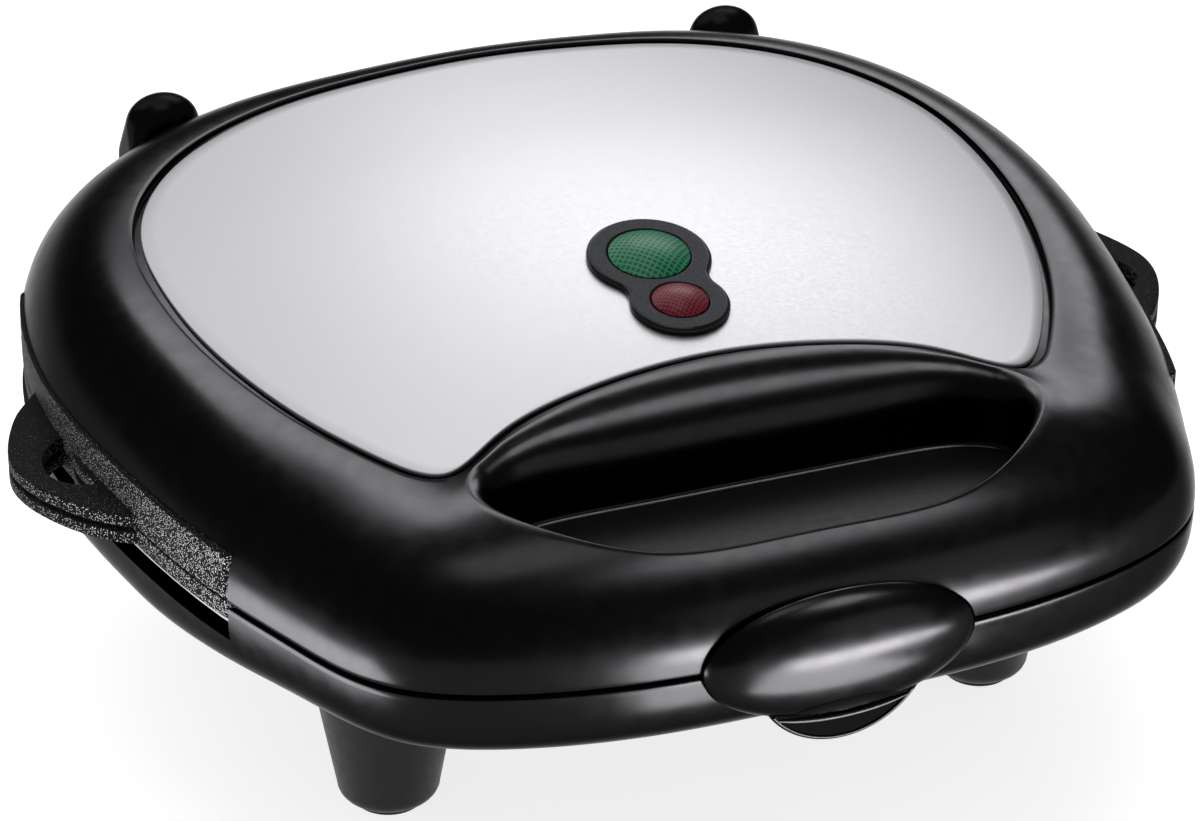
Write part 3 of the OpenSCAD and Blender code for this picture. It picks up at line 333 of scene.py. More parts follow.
def slab(name, outer, holes, low, high, edge):
    """A flat plate between two heights with rounded edges; outlines are plan points."""
    curve = bpy.data.curves.new(name, "CURVE")
    curve.dimensions = "2D"
    curve.fill_mode = "BOTH"
    curve.extrude = ((high - low) / 2 - edge) * MM
    curve.bevel_depth = edge * MM
    curve.bevel_resolution = 3
    curve.offset = -edge * MM
    for ring in [outer] + holes:
        spline = curve.splines.new("POLY")
        flat = to_frame(level(ring, 0.0))
        spline.points.add(len(flat) - 1)
        for point, co in zip(spline.points, flat):
            point.co = (co[0], co[1], 0.0, 1.0)
        spline.use_cyclic_u = True
    holder = placed(name, curve)
    mesh = finished_mesh(holder)
    bpy.data.objects.remove(holder)
    mesh.transform(Matrix.Translation((0, 0, (low + high) / 2 * MM)))
    return soft_edges(tidy_mesh(placed(name, mesh)))


def grid_faces(rows, columns, keep=None):
    """Quads of a closed band of rows, unless keep(row, column) says no."""
    faces = []
    for j in range(rows - 1):
        for i in range(columns):
            if keep is None or keep(j, i):
                k = (i + 1) % columns
                low, high = j * columns, (j + 1) * columns
                faces.append((low + i, low + k, high + k, high + i))
    return faces


# ---- Lid ----

# The skin is open for the recess above this row, as far as RECESS_T either side of the middle
HOLE_ROW_Z = 79.5
RECESS_T = 3
RECESS_MIDDLE_X = 30.0
RECESS_MIDDLE_Y = 31.0
# Least distance of the recess's rolled edge in front of the panel's seat
ROLL_GAP = 1.2
SEAT_MIDDLE_Y = 130.0
GROOVE_STEPS = ((0.4, 0.0), (0.12, 0.12), (0.0, 0.4), (0.0, 1.3), (-0.3, SEAT_DEPTH))
SEAT_SHARES = (0.9, 0.75, 0.5, 0.25, 0.02)
LATCH_SLOT_HALF = 8.5
LATCH_SLOT_TOP = 77.0
HINGE_SLOT_TOP = 79.5
SKIN_T = 2.2
EDGE_R = 0.45
COLUMNS = 384


def edge_rows(t, z, up):
    """Small rounded edge of a shell's rim at a height, as three rows that start inside."""
    sides = [(EDGE_R, 0.0), (EDGE_R * 0.29, EDGE_R * 0.29), (0.0, EDGE_R)]
    rows = []
    for inwards, along in sides:
        rows.append(level(outline.inset(t, inwards), z + up * along))
    return rows


# Stretches of the outline's right half: the side's front part, its rear part, and the rear
SIDE_FRONT_T = (3.5, 6.5)
SIDE_REAR_T = (6.5, 9.0)
REAR_T = (8.5, 11.5)


def side_marks():
    """Parameters at which the side cut-outs start and end."""
    right = [param_where(1, SIDE_FRONT_Y, *SIDE_FRONT_T), param_where(1, SIDE_REAR_Y, *SIDE_REAR_T)]
    return right + [TURN - t for t in right]


def rear_marks():
    """Parameters of both sides of the two hinge slots."""
    edges = [HINGE_X - HINGE_SLOT_HALF, HINGE_X + HINGE_SLOT_HALF]
    right = [param_where(0, x, *REAR_T) for x in edges]
    return right + [TURN - t for t in right]


def front_marks(half_w):
    t = param_where(0, half_w, 0.0, 0.8)
    return [t, TURN - t]


def middle_of(t, i):
    k = (i + 1) % len(t)
    return (t[i] + (t[k] - t[i]) % TURN / 2) % TURN


def between_marks(t, marks):
    """Whether a parameter lies between the two marks of any pair."""
    return any(min(pair) < t < max(pair) for pair in zip(marks[::2], marks[1::2]))


def lid_rows(t):
    """Rows of the lid's skin from its rim up to the panel's seat, with the height or None of each."""
    rows = [(p, LID_Z) for p in edge_rows(t, LID_Z, 1)]
    for z in (66.5, 68, 70, 72.5, 75, SIDE_TOP_Z, LATCH_SLOT_TOP, 78.3, HOLE_ROW_Z):
        rows.append((skin_point(t, share_at_height(t, z)), z))
    n = roundness(t)
    rise = (HOLE_ROW_Z - LID_Z) / (top_z(seat_line(t)) - LID_Z)
    start = np.arcsin(rise ** (n / 2))
    for step in np.linspace(0, 1, 30)[1:-1]:
        angle = start + (math.pi / 2 - start) * step
        rows.append((skin_point(t, 1 - np.cos(angle) ** (2 / n)), None))
    g = seat_line(t)
    out = panel_line.out(t)
    top = top_z(g)[:, None]
    for outwards, drop in GROOVE_STEPS:
        rows.append((np.concatenate([g + out * outwards, top - drop], -1), None))
    middle = np.array([0.0, SEAT_MIDDLE_Y])
    for share in SEAT_SHARES:
        plan = middle + (g - out * 0.3 - middle) * share
        rows.append((np.concatenate([plan, top_z(plan)[:, None] - SEAT_DEPTH], -1), None))
    return rows


def recess_strip(border):
    """Rows of the grip recess, from a closed border on the lid's skin down to the recess's floor."""
    plan = border[:, :2]
    middle_x = np.clip(plan[:, 0], -RECESS_MIDDLE_X, RECESS_MIDDLE_X)
    middle = np.stack([middle_x, np.full(len(plan), RECESS_MIDDLE_Y)], -1)
    s_all = np.linspace(0, recess_line.n, 5601)[:-1]
    wall_all = recess_line.at(s_all)
    roll_all = recess_roll.at(s_all)
    start_all = wall_all + recess_line.out(s_all) * roll_all[:, :1]
    aim = np.arctan2(plan[:, 1] - middle[:, 1], plan[:, 0] - middle[:, 0])
    s = np.empty(len(plan))
    for i, m in enumerate(middle):
        angle = np.arctan2(start_all[:, 1] - m[1], start_all[:, 0] - m[0])
        miss = np.abs((angle - aim[i] + math.pi) % (2 * math.pi) - math.pi)
        s[i] = s_all[np.argmin(miss)]
    wall = recess_line.at(s)
    roll = recess_roll.at(s)
    start = wall + recess_line.out(s) * roll[:, :1]
    t_dense = np.linspace(-4, 4, 801)
    seat = seat_line(t_dense)
    start[:, 1] = np.minimum(start[:, 1], np.interp(start[:, 0], seat[:, 0], seat[:, 1]) - ROLL_GAP)
    rows = [border]
    for share in np.linspace(0, 1, 13)[1:]:
        rows.append(skin_over(plan + (start - plan) * share))
    top = rows[-1][:, 2]
    for angle in np.radians(np.linspace(90, 0, 15)[1:]):
        here = wall + (start - wall) * (1 - math.cos(angle))
        rows.append(np.c_[here, top - roll[:, 1] * (1 - math.sin(angle))])
    bottom = rows[-1][:, 2]
    for share in (0.33, 0.66, 1.0):
        rows.append(np.c_[wall, bottom + (RECESS_FLOOR + RECESS_FILLET - bottom) * share])
    for angle in np.radians((22, 45, 68, 90)):
        inward = recess_line.inset(s, RECESS_FILLET * (1 - math.cos(angle)))
        z = RECESS_FLOOR + RECESS_FILLET * (1 - math.sin(angle))
        rows.append(level(inward, z))
    return rows


def thickened(skin):
    """Gives a skin the shells' thickness, inwards."""
    solid = skin.modifiers.new("wall", "SOLIDIFY")
    solid.thickness = SKIN_T * MM
    solid.offset = -1
    solid.use_even_offset = False
    apply_modifiers(skin)
    return soft_edges(skin, 40)


def make_lid():
    last = TURN - RECESS_T
    t = loop_params(COLUMNS, [RECESS_T, last, 0] + side_marks() + rear_marks() + front_marks(LATCH_SLOT_HALF))
    rows = lid_rows(t)
    count = len(t)
    heights = [z for _, z in rows]
    points = np.concatenate([p for p, _ in rows])
    hole_low = heights.index(HOLE_ROW_Z)
    hole_high = len(rows) - len(GROOVE_STEPS) - len(SEAT_SHARES)
    side = side_marks()
    rear = rear_marks()
    latch = front_marks(LATCH_SLOT_HALF)

    def keep(j, i):
        mid = middle_of(t, i)
        z = heights[j + 1]
        if z is not None:
            if z <= SIDE_TOP_Z and between_marks(mid, side):
                return False
            if z <= LATCH_SLOT_TOP and not between_marks(mid, latch):
                return False
            if z <= HINGE_SLOT_TOP and between_marks(mid, rear):
                return False
        return not hole_low <= j < hole_high or between_marks(mid, (RECESS_T, last))

    faces = grid_faces(len(rows), count, keep)
    front = [i for i in range(count) if t[i] >= last] + [i for i in range(count) if t[i] <= RECESS_T]
    left, right = front[0], front[-1]
    loop = [hole_low * count + i for i in front]
    loop += [j * count + right for j in range(hole_low + 1, hole_high)]
    loop += [hole_high * count + i for i in reversed(front)]
    loop += [j * count + left for j in range(hole_high - 1, hole_low, -1)]
    strip = recess_strip(points[loop])
    base = len(points)
    points = np.concatenate([points] + strip)
    faces += [tuple(base + i for i in face) for face in grid_faces(len(strip), len(loop))]
    skin = mesh_object("lid_skin", points, faces)
    tidy_mesh(skin, 2e-6)
    return thickened(skin)


def make_recess_floor():
    s = np.linspace(0, recess_line.n, 161)[:-1]
    edge = recess_line.inset(s, RECESS_FILLET - 0.5)
    return slab("recess_floor", edge, [], RECESS_FLOOR - 1.0, RECESS_FLOOR + 0.1, 0.1)


# ---- Base ----

# The row heights include both ends of each slot
SLOT_LOW = 53.0
SLOT_HIGH = 59.6
HINGE_SLOT_LOW = 52.3
TONGUE_SLOT_HALF = 7.6
RIM_INSET = 27.0
LEDGE_W = 5.5
LEDGE_T = 3.0
LEDGE_ROOT = 0.5
LEDGE_OVERRUN = 2.0


def base_form(t):
    """Inset of the flat underside and roundness of the lower edge, steeper along the sides."""
    y = outline.at(t)[..., 1]
    steep = eased((y - STEEP_START_Y) / (STEEP_FULL_Y - STEEP_START_Y)) * eased((BODY_D - y) / STEEP_FADE)
    inset = BASE_INSET + (BASE_SIDE_INSET - BASE_INSET) * steep
    return inset, BASE_ROUND + (BASE_SIDE_ROUND - BASE_ROUND) * steep


def base_ring(t, angle):
    """Ring of the base's rounded side, an angle up from its flat underside."""
    inset, n = base_form(t)
    deep = inset * (1 - np.sin(angle) ** (2 / n))
    plan = outline.at(t) - outline.out(t) * deep[:, None]
    z = BASE_TOP - BASE_H * np.cos(angle) ** (2 / n)
    return np.concatenate([plan, z[:, None]], -1)


def base_row(t, z):
    """Row of the base's rounded side at a height."""
    n = base_form(t)[1]
    down = min(1.0, max(0.0, (BASE_TOP - z) / BASE_H))
    return base_ring(t, np.arccos(down ** (n / 2)))


def make_base():
    t = loop_params(COLUMNS, side_marks() + rear_marks() + front_marks(TONGUE_SLOT_HALF))
    low = BASE_TOP - BASE_H
    rows = [(level(outline.inset(t, RIM_INSET), low), None)]
    for degrees in (0, 5, 10, 16, 22, 29):
        rows.append((base_ring(t, math.radians(degrees)), None))
    lower = (48.2, 49.5, 51, HINGE_SLOT_LOW, SLOT_LOW, 54.3, 55.3)
    upper = (LEDGE_Z, 57.4, 58.5, SLOT_HIGH, 60.6, 61.7, 62.8)
    for z in lower + upper:
        rows.append((base_row(t, z), z))
    rows += [(p, BASE_TOP) for p in reversed(edge_rows(t, BASE_TOP, -1))]
    heights = [z for _, z in rows]
    points = np.concatenate([p for p, _ in rows])
    side = side_marks()
    rear = rear_marks()
    tongue = front_marks(TONGUE_SLOT_HALF)

    def keep(j, i):
        mid = middle_of(t, i)
        z = heights[j]
        if z is None:
            return True
        if z >= LEDGE_Z and between_marks(mid, side):
            return False
        if z >= HINGE_SLOT_LOW and between_marks(mid, rear):
            return False
        return not SLOT_LOW <= z < SLOT_HIGH or between_marks(mid, tongue)

    skin = mesh_object("base_skin", points, grid_faces(len(rows), len(t), keep))
    tidy_mesh(skin)
    thickened(skin)
    ledges = [side_ledge(-1), side_ledge(1)]
    return soft_edges(join([skin] + ledges, "base_skin"), 40)


def side_ledge(side):
    """Shelf along one side of the base that carries the reflector's rim."""
    start = param_where(1, SIDE_FRONT_Y - LEDGE_OVERRUN, *SIDE_FRONT_T)
    end = param_where(1, SIDE_REAR_Y + LEDGE_OVERRUN, *SIDE_REAR_T)
    t = np.linspace(start, end, 60)
    outer = outline.inset(t, WALL - LEDGE_ROOT)
    inner = outline.inset(t[::-1], WALL + LEDGE_W)
    ring = np.concatenate([outer, inner]) * np.array([side, 1])
    if side < 0:
        ring = ring[::-1]
    return slab(f"side_ledge_{side}", ring, [], LEDGE_Z - LEDGE_T, LEDGE_Z - 0.02, 0.1)


# ---- Plates ----

PLATE_FRONT_Y = 61.0
PLATE_REAR_Y = 189.0
PLATE_INSET = 0.6
PLATE_CORNER = 2.0
RIM_T = 3.6
RIM_PROUD = 0.6
SKIRT_H = 10.4
SKIRT_T = 2.5
HOLLOW_DEPTH = 7.0
HOLLOW_FLOOR = 2.5
TAB_T = 3.0
TUB_HALF_W = 83.0
TUB_FRONT_Y = 69.0
TUB_REAR_Y = 181.0
# Rounded corners of the cast underside and of the hollows, and their distance within it
TUB_CORNER = 14.0
HOLLOW_CORNER = 5.0
HOLLOW_SIDE_IN = 3.0
HOLLOW_END_IN = 4.0
# Width of the ridges between the hollows
RIDGE_W = 5.0
TAB_HALF = [
    (100, 86), (112, 88), (122, 98), (131, 109), (136.2, 122), (135.3, 134), (130, 147), (120.5, 160),
    (100, 168),
]
TAB_HOLE = [(122.5, 112), (128.5, 115.5), (130.3, 122), (128, 129), (122.5, 133), (123.5, 122)]


def rounded_ring(corners, radius, steps=8):
    """Closed outline with each corner rounded; a corner may carry its own radius as a third number."""
    ring = []
    n = len(corners)
    for i, corner in enumerate(corners):
        p = np.array(corner[:2], float)
        r = corner[2] if len(corner) > 2 else radius
        before = np.array(corners[i - 1][:2], float) - p
        after = np.array(corners[(i + 1) % n][:2], float) - p
        before /= np.linalg.norm(before)
        after /= np.linalg.norm(after)
        half = math.acos(np.clip(before @ after, -1, 1)) / 2
        if r == 0 or half > 1.5:
            ring.append(p)
            continue
        centre = p + (before + after) / np.linalg.norm(before + after) * r / math.sin(half)
        a = p + before * r / math.tan(half) - centre
        turn = math.pi - 2 * half
        sign = np.sign(before[0] * after[1] - before[1] * after[0]) * -1
        for angle in np.linspace(0, turn, steps + 1) * sign:
            c, s = math.cos(angle), math.sin(angle)
            ring.append(centre + np.array([c * a[0] - s * a[1], s * a[0] + c * a[1]]))
    return np.array(ring)


def plate_ring(inwards=0.0):
    """The plates' outline: the body's sides set in, cut straight across at the front and the rear."""
    inset = PLATE_INSET + inwards
    t = np.linspace(3.0, 9.5, 400)
    side = outline.inset(t, inset)
    low, high = PLATE_FRONT_Y + inwards, PLATE_REAR_Y - inwards
    corner = max(0.3, PLATE_CORNER - inwards)
    x_low = np.interp(low, side[:, 1], side[:, 0])
    x_high = np.interp(high, side[:, 1], side[:, 0])
    between = side[(side[:, 1] > low + corner + 2) & (side[:, 1] < high - corner - 2)][::8]
    right = [(x_low, low, corner)] + [(x, y, 0) for x, y in between] + [(x_high, high, corner)]
    left = [(-x, y, r) for x, y, r in reversed(right)]
    return rounded_ring(right + left, corner)


def hollow_rings():
    """The four triangular hollows of a plate."""
    x0 = RIDGE_W / 2
    x1 = TUB_HALF_W - HOLLOW_SIDE_IN
    y0 = TUB_FRONT_Y + HOLLOW_END_IN
    y1 = TUB_REAR_Y - HOLLOW_END_IN
    r = RIDGE_W * 0.7
    front = [(x0, y0), (x1 - r, y0), (x0, y1 - r)]
    rear = [(x1, y0 + r), (x1, y1), (x0 + r, y1)]
    rings = []
    for corners in (front, rear):
        ring = rounded_ring(corners, HOLLOW_CORNER)
        rings += [ring, (ring * np.array([-1, 1]))[::-1]]
    return rings


def tub_ring():
    x = TUB_HALF_W
    return rounded_ring([(-x, TUB_FRONT_Y), (x, TUB_FRONT_Y), (x, TUB_REAR_Y), (-x, TUB_REAR_Y)], TUB_CORNER)


def tab_slab(name, side, low, high):
    t = np.linspace(0, 9, 73)[:-1]
    outer = Loop(TAB_HALF).at(t) * np.array([side, 1])
    hole_t = np.linspace(0, 6, 37)[:-1]
    hole = Loop(TAB_HOLE).at(hole_t) * np.array([side, 1])
    if side < 0:
        outer, hole = outer[::-1], hole[::-1]
    return slab(name, outer, [hole], low, high, 0.5)


def make_lower_plate():
    z = BASE_TOP
    parts = [
        slab("border", plate_ring(), [plate_ring(SKIRT_T)], z - RIM_T, z + RIM_PROUD, 0.3),
        slab("rim", plate_ring(1.0), hollow_rings(), z - RIM_T, z, 0.2),
        slab("tub", tub_ring(), hollow_rings(), z - HOLLOW_DEPTH - HOLLOW_FLOOR, z - RIM_T + 0.4, 0.1),
        slab("floor", tub_ring() * 0.999, [], z - HOLLOW_DEPTH - HOLLOW_FLOOR + 0.1, z - HOLLOW_DEPTH, 0.1),
    ]
    parts += [tab_slab(f"tab_{side}", side, z - TAB_T, z - 0.05) for side in (-1, 1)]
    return join(parts, "lower_plate_looks")


def make_upper_plate():
    z = LID_Z
    parts = [
        slab("skirt", plate_ring(), [plate_ring(SKIRT_T)], z, z + SKIRT_H, 0.3),
        slab("rim", plate_ring(1.0), hollow_rings(), z, z + RIM_T, 0.2),
        slab("tub", tub_ring(), hollow_rings(), z + RIM_T - 0.4, z + HOLLOW_DEPTH + HOLLOW_FLOOR, 0.1),
        slab("floor", tub_ring() * 0.999, [], z + HOLLOW_DEPTH, z + HOLLOW_DEPTH + HOLLOW_FLOOR - 0.1, 0.1),
    ]
    parts += [tab_slab(f"tab_{side}", side, z + 0.05, z + TAB_T) for side in (-1, 1)]
    return join(parts, "upper_plate_looks")


# ---- Steel panel and lamps ----

GREEN_Y = 101.7
GREEN_R = 9.0
RED_Y = 84.3
RED_R = 6.2
BEZEL_BORDER = 4.6
BEZEL_RISE = 1.2
BEZEL_FLANK_R = 6.0
LAMP_MID_Y = (GREEN_Y + RED_Y) / 2
LAMP_TILT = math.atan(2 * FALL_FRONT * (CROWN_Y - LAMP_MID_Y) / CROWN_SPAN ** 2)
PANEL_DROP = SEAT_DEPTH - PANEL_GAP - PANEL_T


def bezel_ring(border):
    """Outline round both lamps: two circles joined by concave flanks, as (x, y) from the middle between."""
    g_pos = (GREEN_Y - LAMP_MID_Y) / math.cos(LAMP_TILT)
    r_pos = (RED_Y - LAMP_MID_Y) / math.cos(LAMP_TILT)
    big, small = GREEN_R + border, RED_R + border
    flank = BEZEL_FLANK_R
    span = g_pos - r_pos
    a, b = big + flank, small + flank
    along = (a * a - b * b + span * span) / (2 * span)
    cx = math.sqrt(a * a - along * along)
    cy = g_pos - along
    on_big = math.atan2(cy - g_pos, cx)
    on_small = math.atan2(cy - r_pos, cx)
    upper = np.linspace(on_big, math.pi / 2, 28)
    lower = np.linspace(-math.pi / 2, on_small, 24)
    mid = math.pi + np.linspace(on_small, on_big, 12)[1:-1]
    right = [(small * math.cos(v), r_pos + small * math.sin(v)) for v in lower]
    right += [(cx + flank * math.cos(v), cy + flank * math.sin(v)) for v in mid]
    right += [(big * math.cos(v), g_pos + big * math.sin(v)) for v in upper]
    left = [(-x, y) for x, y in right[-2:0:-1]]
    return np.array(right + left)


def lamp_place(points):
    """Plan-frame points of points in the lamps' own tilted frame."""
    p = np.asarray(points, float)
    foot = top_z(np.array([0.0, LAMP_MID_Y])) - PANEL_DROP
    c, s = math.cos(LAMP_TILT), math.sin(LAMP_TILT)
    return np.stack([p[:, 0], LAMP_MID_Y + c * p[:, 1] - s * p[:, 2], foot + s * p[:, 1] + c * p[:, 2]], -1)


def ring_surface(name, rings):
    """Band between closed rings of one length, wound so that it faces outwards when the rings rise."""
    return mesh_object(name, np.concatenate(rings), grid_faces(len(rings), len(rings[0])))


def make_panel():
    t = np.arange(288) * (TURN / 288)
    edge = panel_line.at(t)
    out = panel_line.out(t)
    neck = bezel_ring(BEZEL_BORDER - 1.4)
    centre = np.array([0.0, LAMP_MID_Y])
    aim = np.arctan2(edge[:, 1] - centre[1], edge[:, 0] - centre[0])
    neck_angle = np.arctan2(neck[:, 1], neck[:, 0])
    neck_r = np.hypot(neck[:, 0], neck[:, 1])
    radius = np.interp(aim, neck_angle, neck_r, period=2 * math.pi)
    hole = centre + np.stack([np.cos(aim), np.sin(aim)], -1) * radius[:, None]
    rings = []
    for inwards, drop in ((0.0, PANEL_T), (0.0, 0.3), (0.09, 0.09), (0.3, 0.0)):
        plan = edge - out * inwards
        rings.append(np.c_[plan, top_z(plan) - PANEL_DROP - drop])
    start = edge - out * 0.3
    for share in np.linspace(0, 1, 30)[1:]:
        plan = start + (hole - start) * share
        rings.append(np.c_[plan, top_z(plan) - PANEL_DROP])
    rings.append(np.c_[hole, top_z(hole) - PANEL_DROP - PANEL_T])
    panel = ring_surface("panel_skin", rings)
    tidy_mesh(panel)
    return soft_edges(panel, 50)


def circle_ring(y, r, z, count):
    angle = np.arange(count) * (2 * math.pi / count)
    return np.stack([r * np.cos(angle), y + r * np.sin(angle), np.full(count, z)], -1)


def inset_ring(ring, distance):
    """A closed ring moved inwards along its own normals."""
    d = np.roll(ring, -1, axis=0) - np.roll(ring, 1, axis=0)
    d /= np.linalg.norm(d, axis=1, keepdims=True)
    return ring - np.stack([d[:, 1], -d[:, 0]], -1) * distance


def make_bezel(gloss, matt):
    """The lamps' surround: a rounded gloss rim, a flat matt top and two round wells."""
    ring = bezel_ring(BEZEL_BORDER)
    low, high, r = 0.15, BEZEL_RISE + 0.15, 0.9
    rows = [level(ring, low), level(ring, high - r)]
    for angle in np.radians((22, 45, 68, 90)):
        inner = inset_ring(ring, r * (1 - math.cos(angle)))
        rows.append(level(inner, high - r + r * math.sin(angle)))
    rim = ring_surface("bezel_rim", [lamp_place(row) for row in rows])
    g_pos = (GREEN_Y - LAMP_MID_Y) / math.cos(LAMP_TILT)
    r_pos = (RED_Y - LAMP_MID_Y) / math.cos(LAMP_TILT)
    curve_points = [inset_ring(ring, r), circle_ring(g_pos, GREEN_R + 0.5, 0, 72)[:, :2]]
    curve_points.append(circle_ring(r_pos, RED_R + 0.5, 0, 56)[:, :2])
    top = flat_sheet("bezel_top", curve_points, high)
    wells = []
    for pos, radius, count in ((g_pos, GREEN_R, 72), (r_pos, RED_R, 56)):
        rings = [lamp_place(circle_ring(pos, radius + 0.5, high, count))]
        rings.append(lamp_place(circle_ring(pos, radius + 0.15, high - 0.15, count)))
        rings.append(lamp_place(circle_ring(pos, radius, high - 0.5, count)))
        rings.append(lamp_place(circle_ring(pos, radius, high - 6, count)))
        wells.append(ring_surface("well", rings))
    for part in [rim] + wells:
        part.data.materials.append(gloss)
    top.data.materials.append(matt)
    return rim, top, wells


def flat_sheet(name, outlines, z):
    """A flat filled sheet with holes in the lamps' frame."""
    bm = bmesh.new()
    edges = []
    for ring in outlines:
        verts = [bm.verts.new(tuple(p)) for p in to_frame(lamp_place(level(ring, z)))]
        edges += [bm.edges.new((verts[i], verts[(i + 1) % len(verts)])) for i in range(len(verts))]
    bmesh.ops.triangle_fill(bm, use_beauty=True, use_dissolve=False, edges=edges)
    mesh = bpy.data.meshes.new(name)
    bm.to_mesh(mesh)
    bm.free()
    return placed(name, mesh)


# ---- Latch ----

GRIP_HALF_W = 30.1
GRIP_HALF_H = 14.2
GRIP_Z = 65.2
GRIP_DEPTH = 8.9
GRIP_CENTRE_Y = 0.6
GRIP_BACK_Y = -0.4
# Hollow below the grip for a fingertip
FINGER_Y = -7.5
FINGER_Z = 50.5
FINGER_HALF_W = 20.0
FINGER_HALF_D = 5.0
FINGER_HALF_H = 7.5
# Lip along the finger disc's edge and ridge across its face; each is thickest in the middle
LIP_TUBE_R = 0.5
LIP_R = 19.2
LIP_Y = -2.5
LIP_REACH = math.radians(53)
RIDGE_HALF_W = 14.3
RIDGE_Z = 50.9
RIDGE_RISE = 1.7


def make_grip():
    """The latch's oval, hollowed below for a fingertip."""
    count = 160
    angle = np.arange(count) * (2 * math.pi / count)
    first = math.asin((GRIP_CENTRE_Y - GRIP_BACK_Y) / GRIP_DEPTH)
    rings = [np.stack([0 * angle, 0 * angle + GRIP_BACK_Y, 0 * angle + GRIP_Z], -1)]
    for lift in np.linspace(first, math.pi / 2, 40):
        size = math.cos(lift)
        y = GRIP_CENTRE_Y - GRIP_DEPTH * math.sin(lift)
        x = GRIP_HALF_W * size * np.cos(angle)
        z = GRIP_Z + GRIP_HALF_H * size * np.sin(angle)
        rings.append(np.stack([x, 0 * angle + y, z], -1))
    grip = ring_surface("grip_looks", rings)
    tidy_mesh(grip, 2e-6)
    cutter_rings = []
    for lift in np.linspace(-math.pi / 2, math.pi / 2, 49):
        size = math.cos(lift)
        x = FINGER_HALF_W * size * np.cos(angle)
        y = FINGER_Y + FINGER_HALF_D * size * np.sin(angle)
        cutter_rings.append(np.stack([x, y, 0 * angle + FINGER_Z + FINGER_HALF_H * math.sin(lift)], -1))
    cutter = ring_surface("grip_cutter", cutter_rings)
    tidy_mesh(cutter, 2e-6)
    cut_away(grip, cutter)
    bevel(grip, 0.5, 3, 50)
    apply_modifiers(grip)
    return soft_edges(grip, 50)


def make_disc_lip():
    """Raised lip along the finger disc's lower edge, and the ridge across the disc below the grip."""
    curve = bpy.data.curves.new("disc_lip", "CURVE")
    curve.dimensions = "3D"
    curve.bevel_depth = LIP_TUBE_R * MM
    curve.bevel_resolution = 4
    share = np.linspace(-1, 1, 41)
    face = np.full(len(share), LIP_Y)
    turn = LIP_REACH * share
    edge = np.c_[LIP_R * np.sin(turn), face, GRIP_Z - LIP_R * np.cos(turn)]
    ridge = np.c_[RIDGE_HALF_W * share, face, RIDGE_Z + RIDGE_RISE * share ** 2]
    for line, thick in ((edge, 0.9 + 0 * share), (ridge, 1.8 - 1.1 * share ** 4)):
        spline = curve.splines.new("POLY")
        spline.points.add(len(line) - 1)
        for point, place, size in zip(spline.points, to_frame(line), thick):
            point.co = (*place, 1)
            point.radius = size
        spline.use_smooth = True
    return placed("disc_lip", curve)


# ---- Materials ----

# Height above which the reflectors' sheet is bright; below it the sheet is painted black as shade
SHADE_TOP_Z = 59.5


class Surface:
    """A node material with a Principled shader, and short calls that add procedural detail."""

    def __init__(self, name, colour, roughness, metallic=0.0):
        self.mat = bpy.data.materials.new(name)
        self.mat.use_nodes = True
        self.nodes = self.mat.node_tree.nodes
        self.links = self.mat.node_tree.links
        self.bsdf = self.nodes["Principled BSDF"]
        self.normal = None
        self.set(Base_Color=(*colour, 1), Roughness=roughness, Metallic=metallic)

    def set(self, node=None, **values):
        """Plain numbers or colours on a node's inputs, the shader's if none is named."""
        for key, value in values.items():
            (node or self.bsdf).inputs[key.replace("_", " ")].default_value = value

    def node(self, kind, **values):
        node = self.nodes.new("ShaderNode" + kind)
        self.set(node, **values)
        return node

    def calc(self, operation, a, b):
        """Result of a Math node on a socket and a socket or number."""
        node = self.node("Math")
        node.operation = operation
        self.links.new(a, node.inputs[0])
        if isinstance(b, (int, float)):
            node.inputs[1].default_value = b
        else:
            self.links.new(b, node.inputs[1])
        return node.outputs["Value"]

    def axis(self, vector, name):
        """One axis of a vector socket."""
        split = self.node("SeparateXYZ")
        self.links.new(vector, split.inputs["Vector"])
        return split.outputs[name]

    def coords(self, scale=(1, 1, 1), turn=(0, 0, 0)):
        """Object coordinates in millimetres, stretched."""
        mapping = self.node("Mapping", Scale=[s / MM for s in scale], Rotation=turn)
        self.links.new(self.node("TexCoord").outputs["Object"], mapping.inputs["Vector"])
        return mapping.outputs["Vector"]

    def noise(self, scale, detail, stretch=(1, 1, 1)):
        node = self.node("TexNoise", Scale=scale, Detail=detail)
        self.links.new(self.coords(stretch), node.inputs["Vector"])
        return node.outputs["Fac"]

    def remap(self, value, low, high, to_low, to_high):
        node = self.node("MapRange", From_Min=low, From_Max=high, To_Min=to_low, To_Max=to_high)
        self.links.new(value, node.inputs["Value"])
        return node.outputs["Result"]

    def bump(self, height, distance_mm, strength):
        node = self.node("Bump", Strength=strength, Distance=distance_mm * MM)
        self.links.new(height, node.inputs["Height"])
        if self.normal is not None:
            self.links.new(self.normal, node.inputs["Normal"])
        self.normal = node.outputs["Normal"]
        self.links.new(self.normal, self.bsdf.inputs["Normal"])

    def vary_roughness(self, value, low, high):
        self.links.new(self.remap(value, 0.3, 0.7, low, high), self.bsdf.inputs["Roughness"])

    def ramp(self, value, stops):
        node = self.node("ValToRGB")
        elements = node.color_ramp.elements
        elements[0].position, elements[0].color = stops[0][0], (*stops[0][1], 1)
        elements[1].position, elements[1].color = stops[-1][0], (*stops[-1][1], 1)
        for place, colour in stops[1:-1]:
            elements.new(place).color = (*colour, 1)
        self.links.new(value, node.inputs["Fac"])
        return node.outputs["Color"]

    def paint(self, colour):
        self.links.new(colour, self.bsdf.inputs["Base Color"])


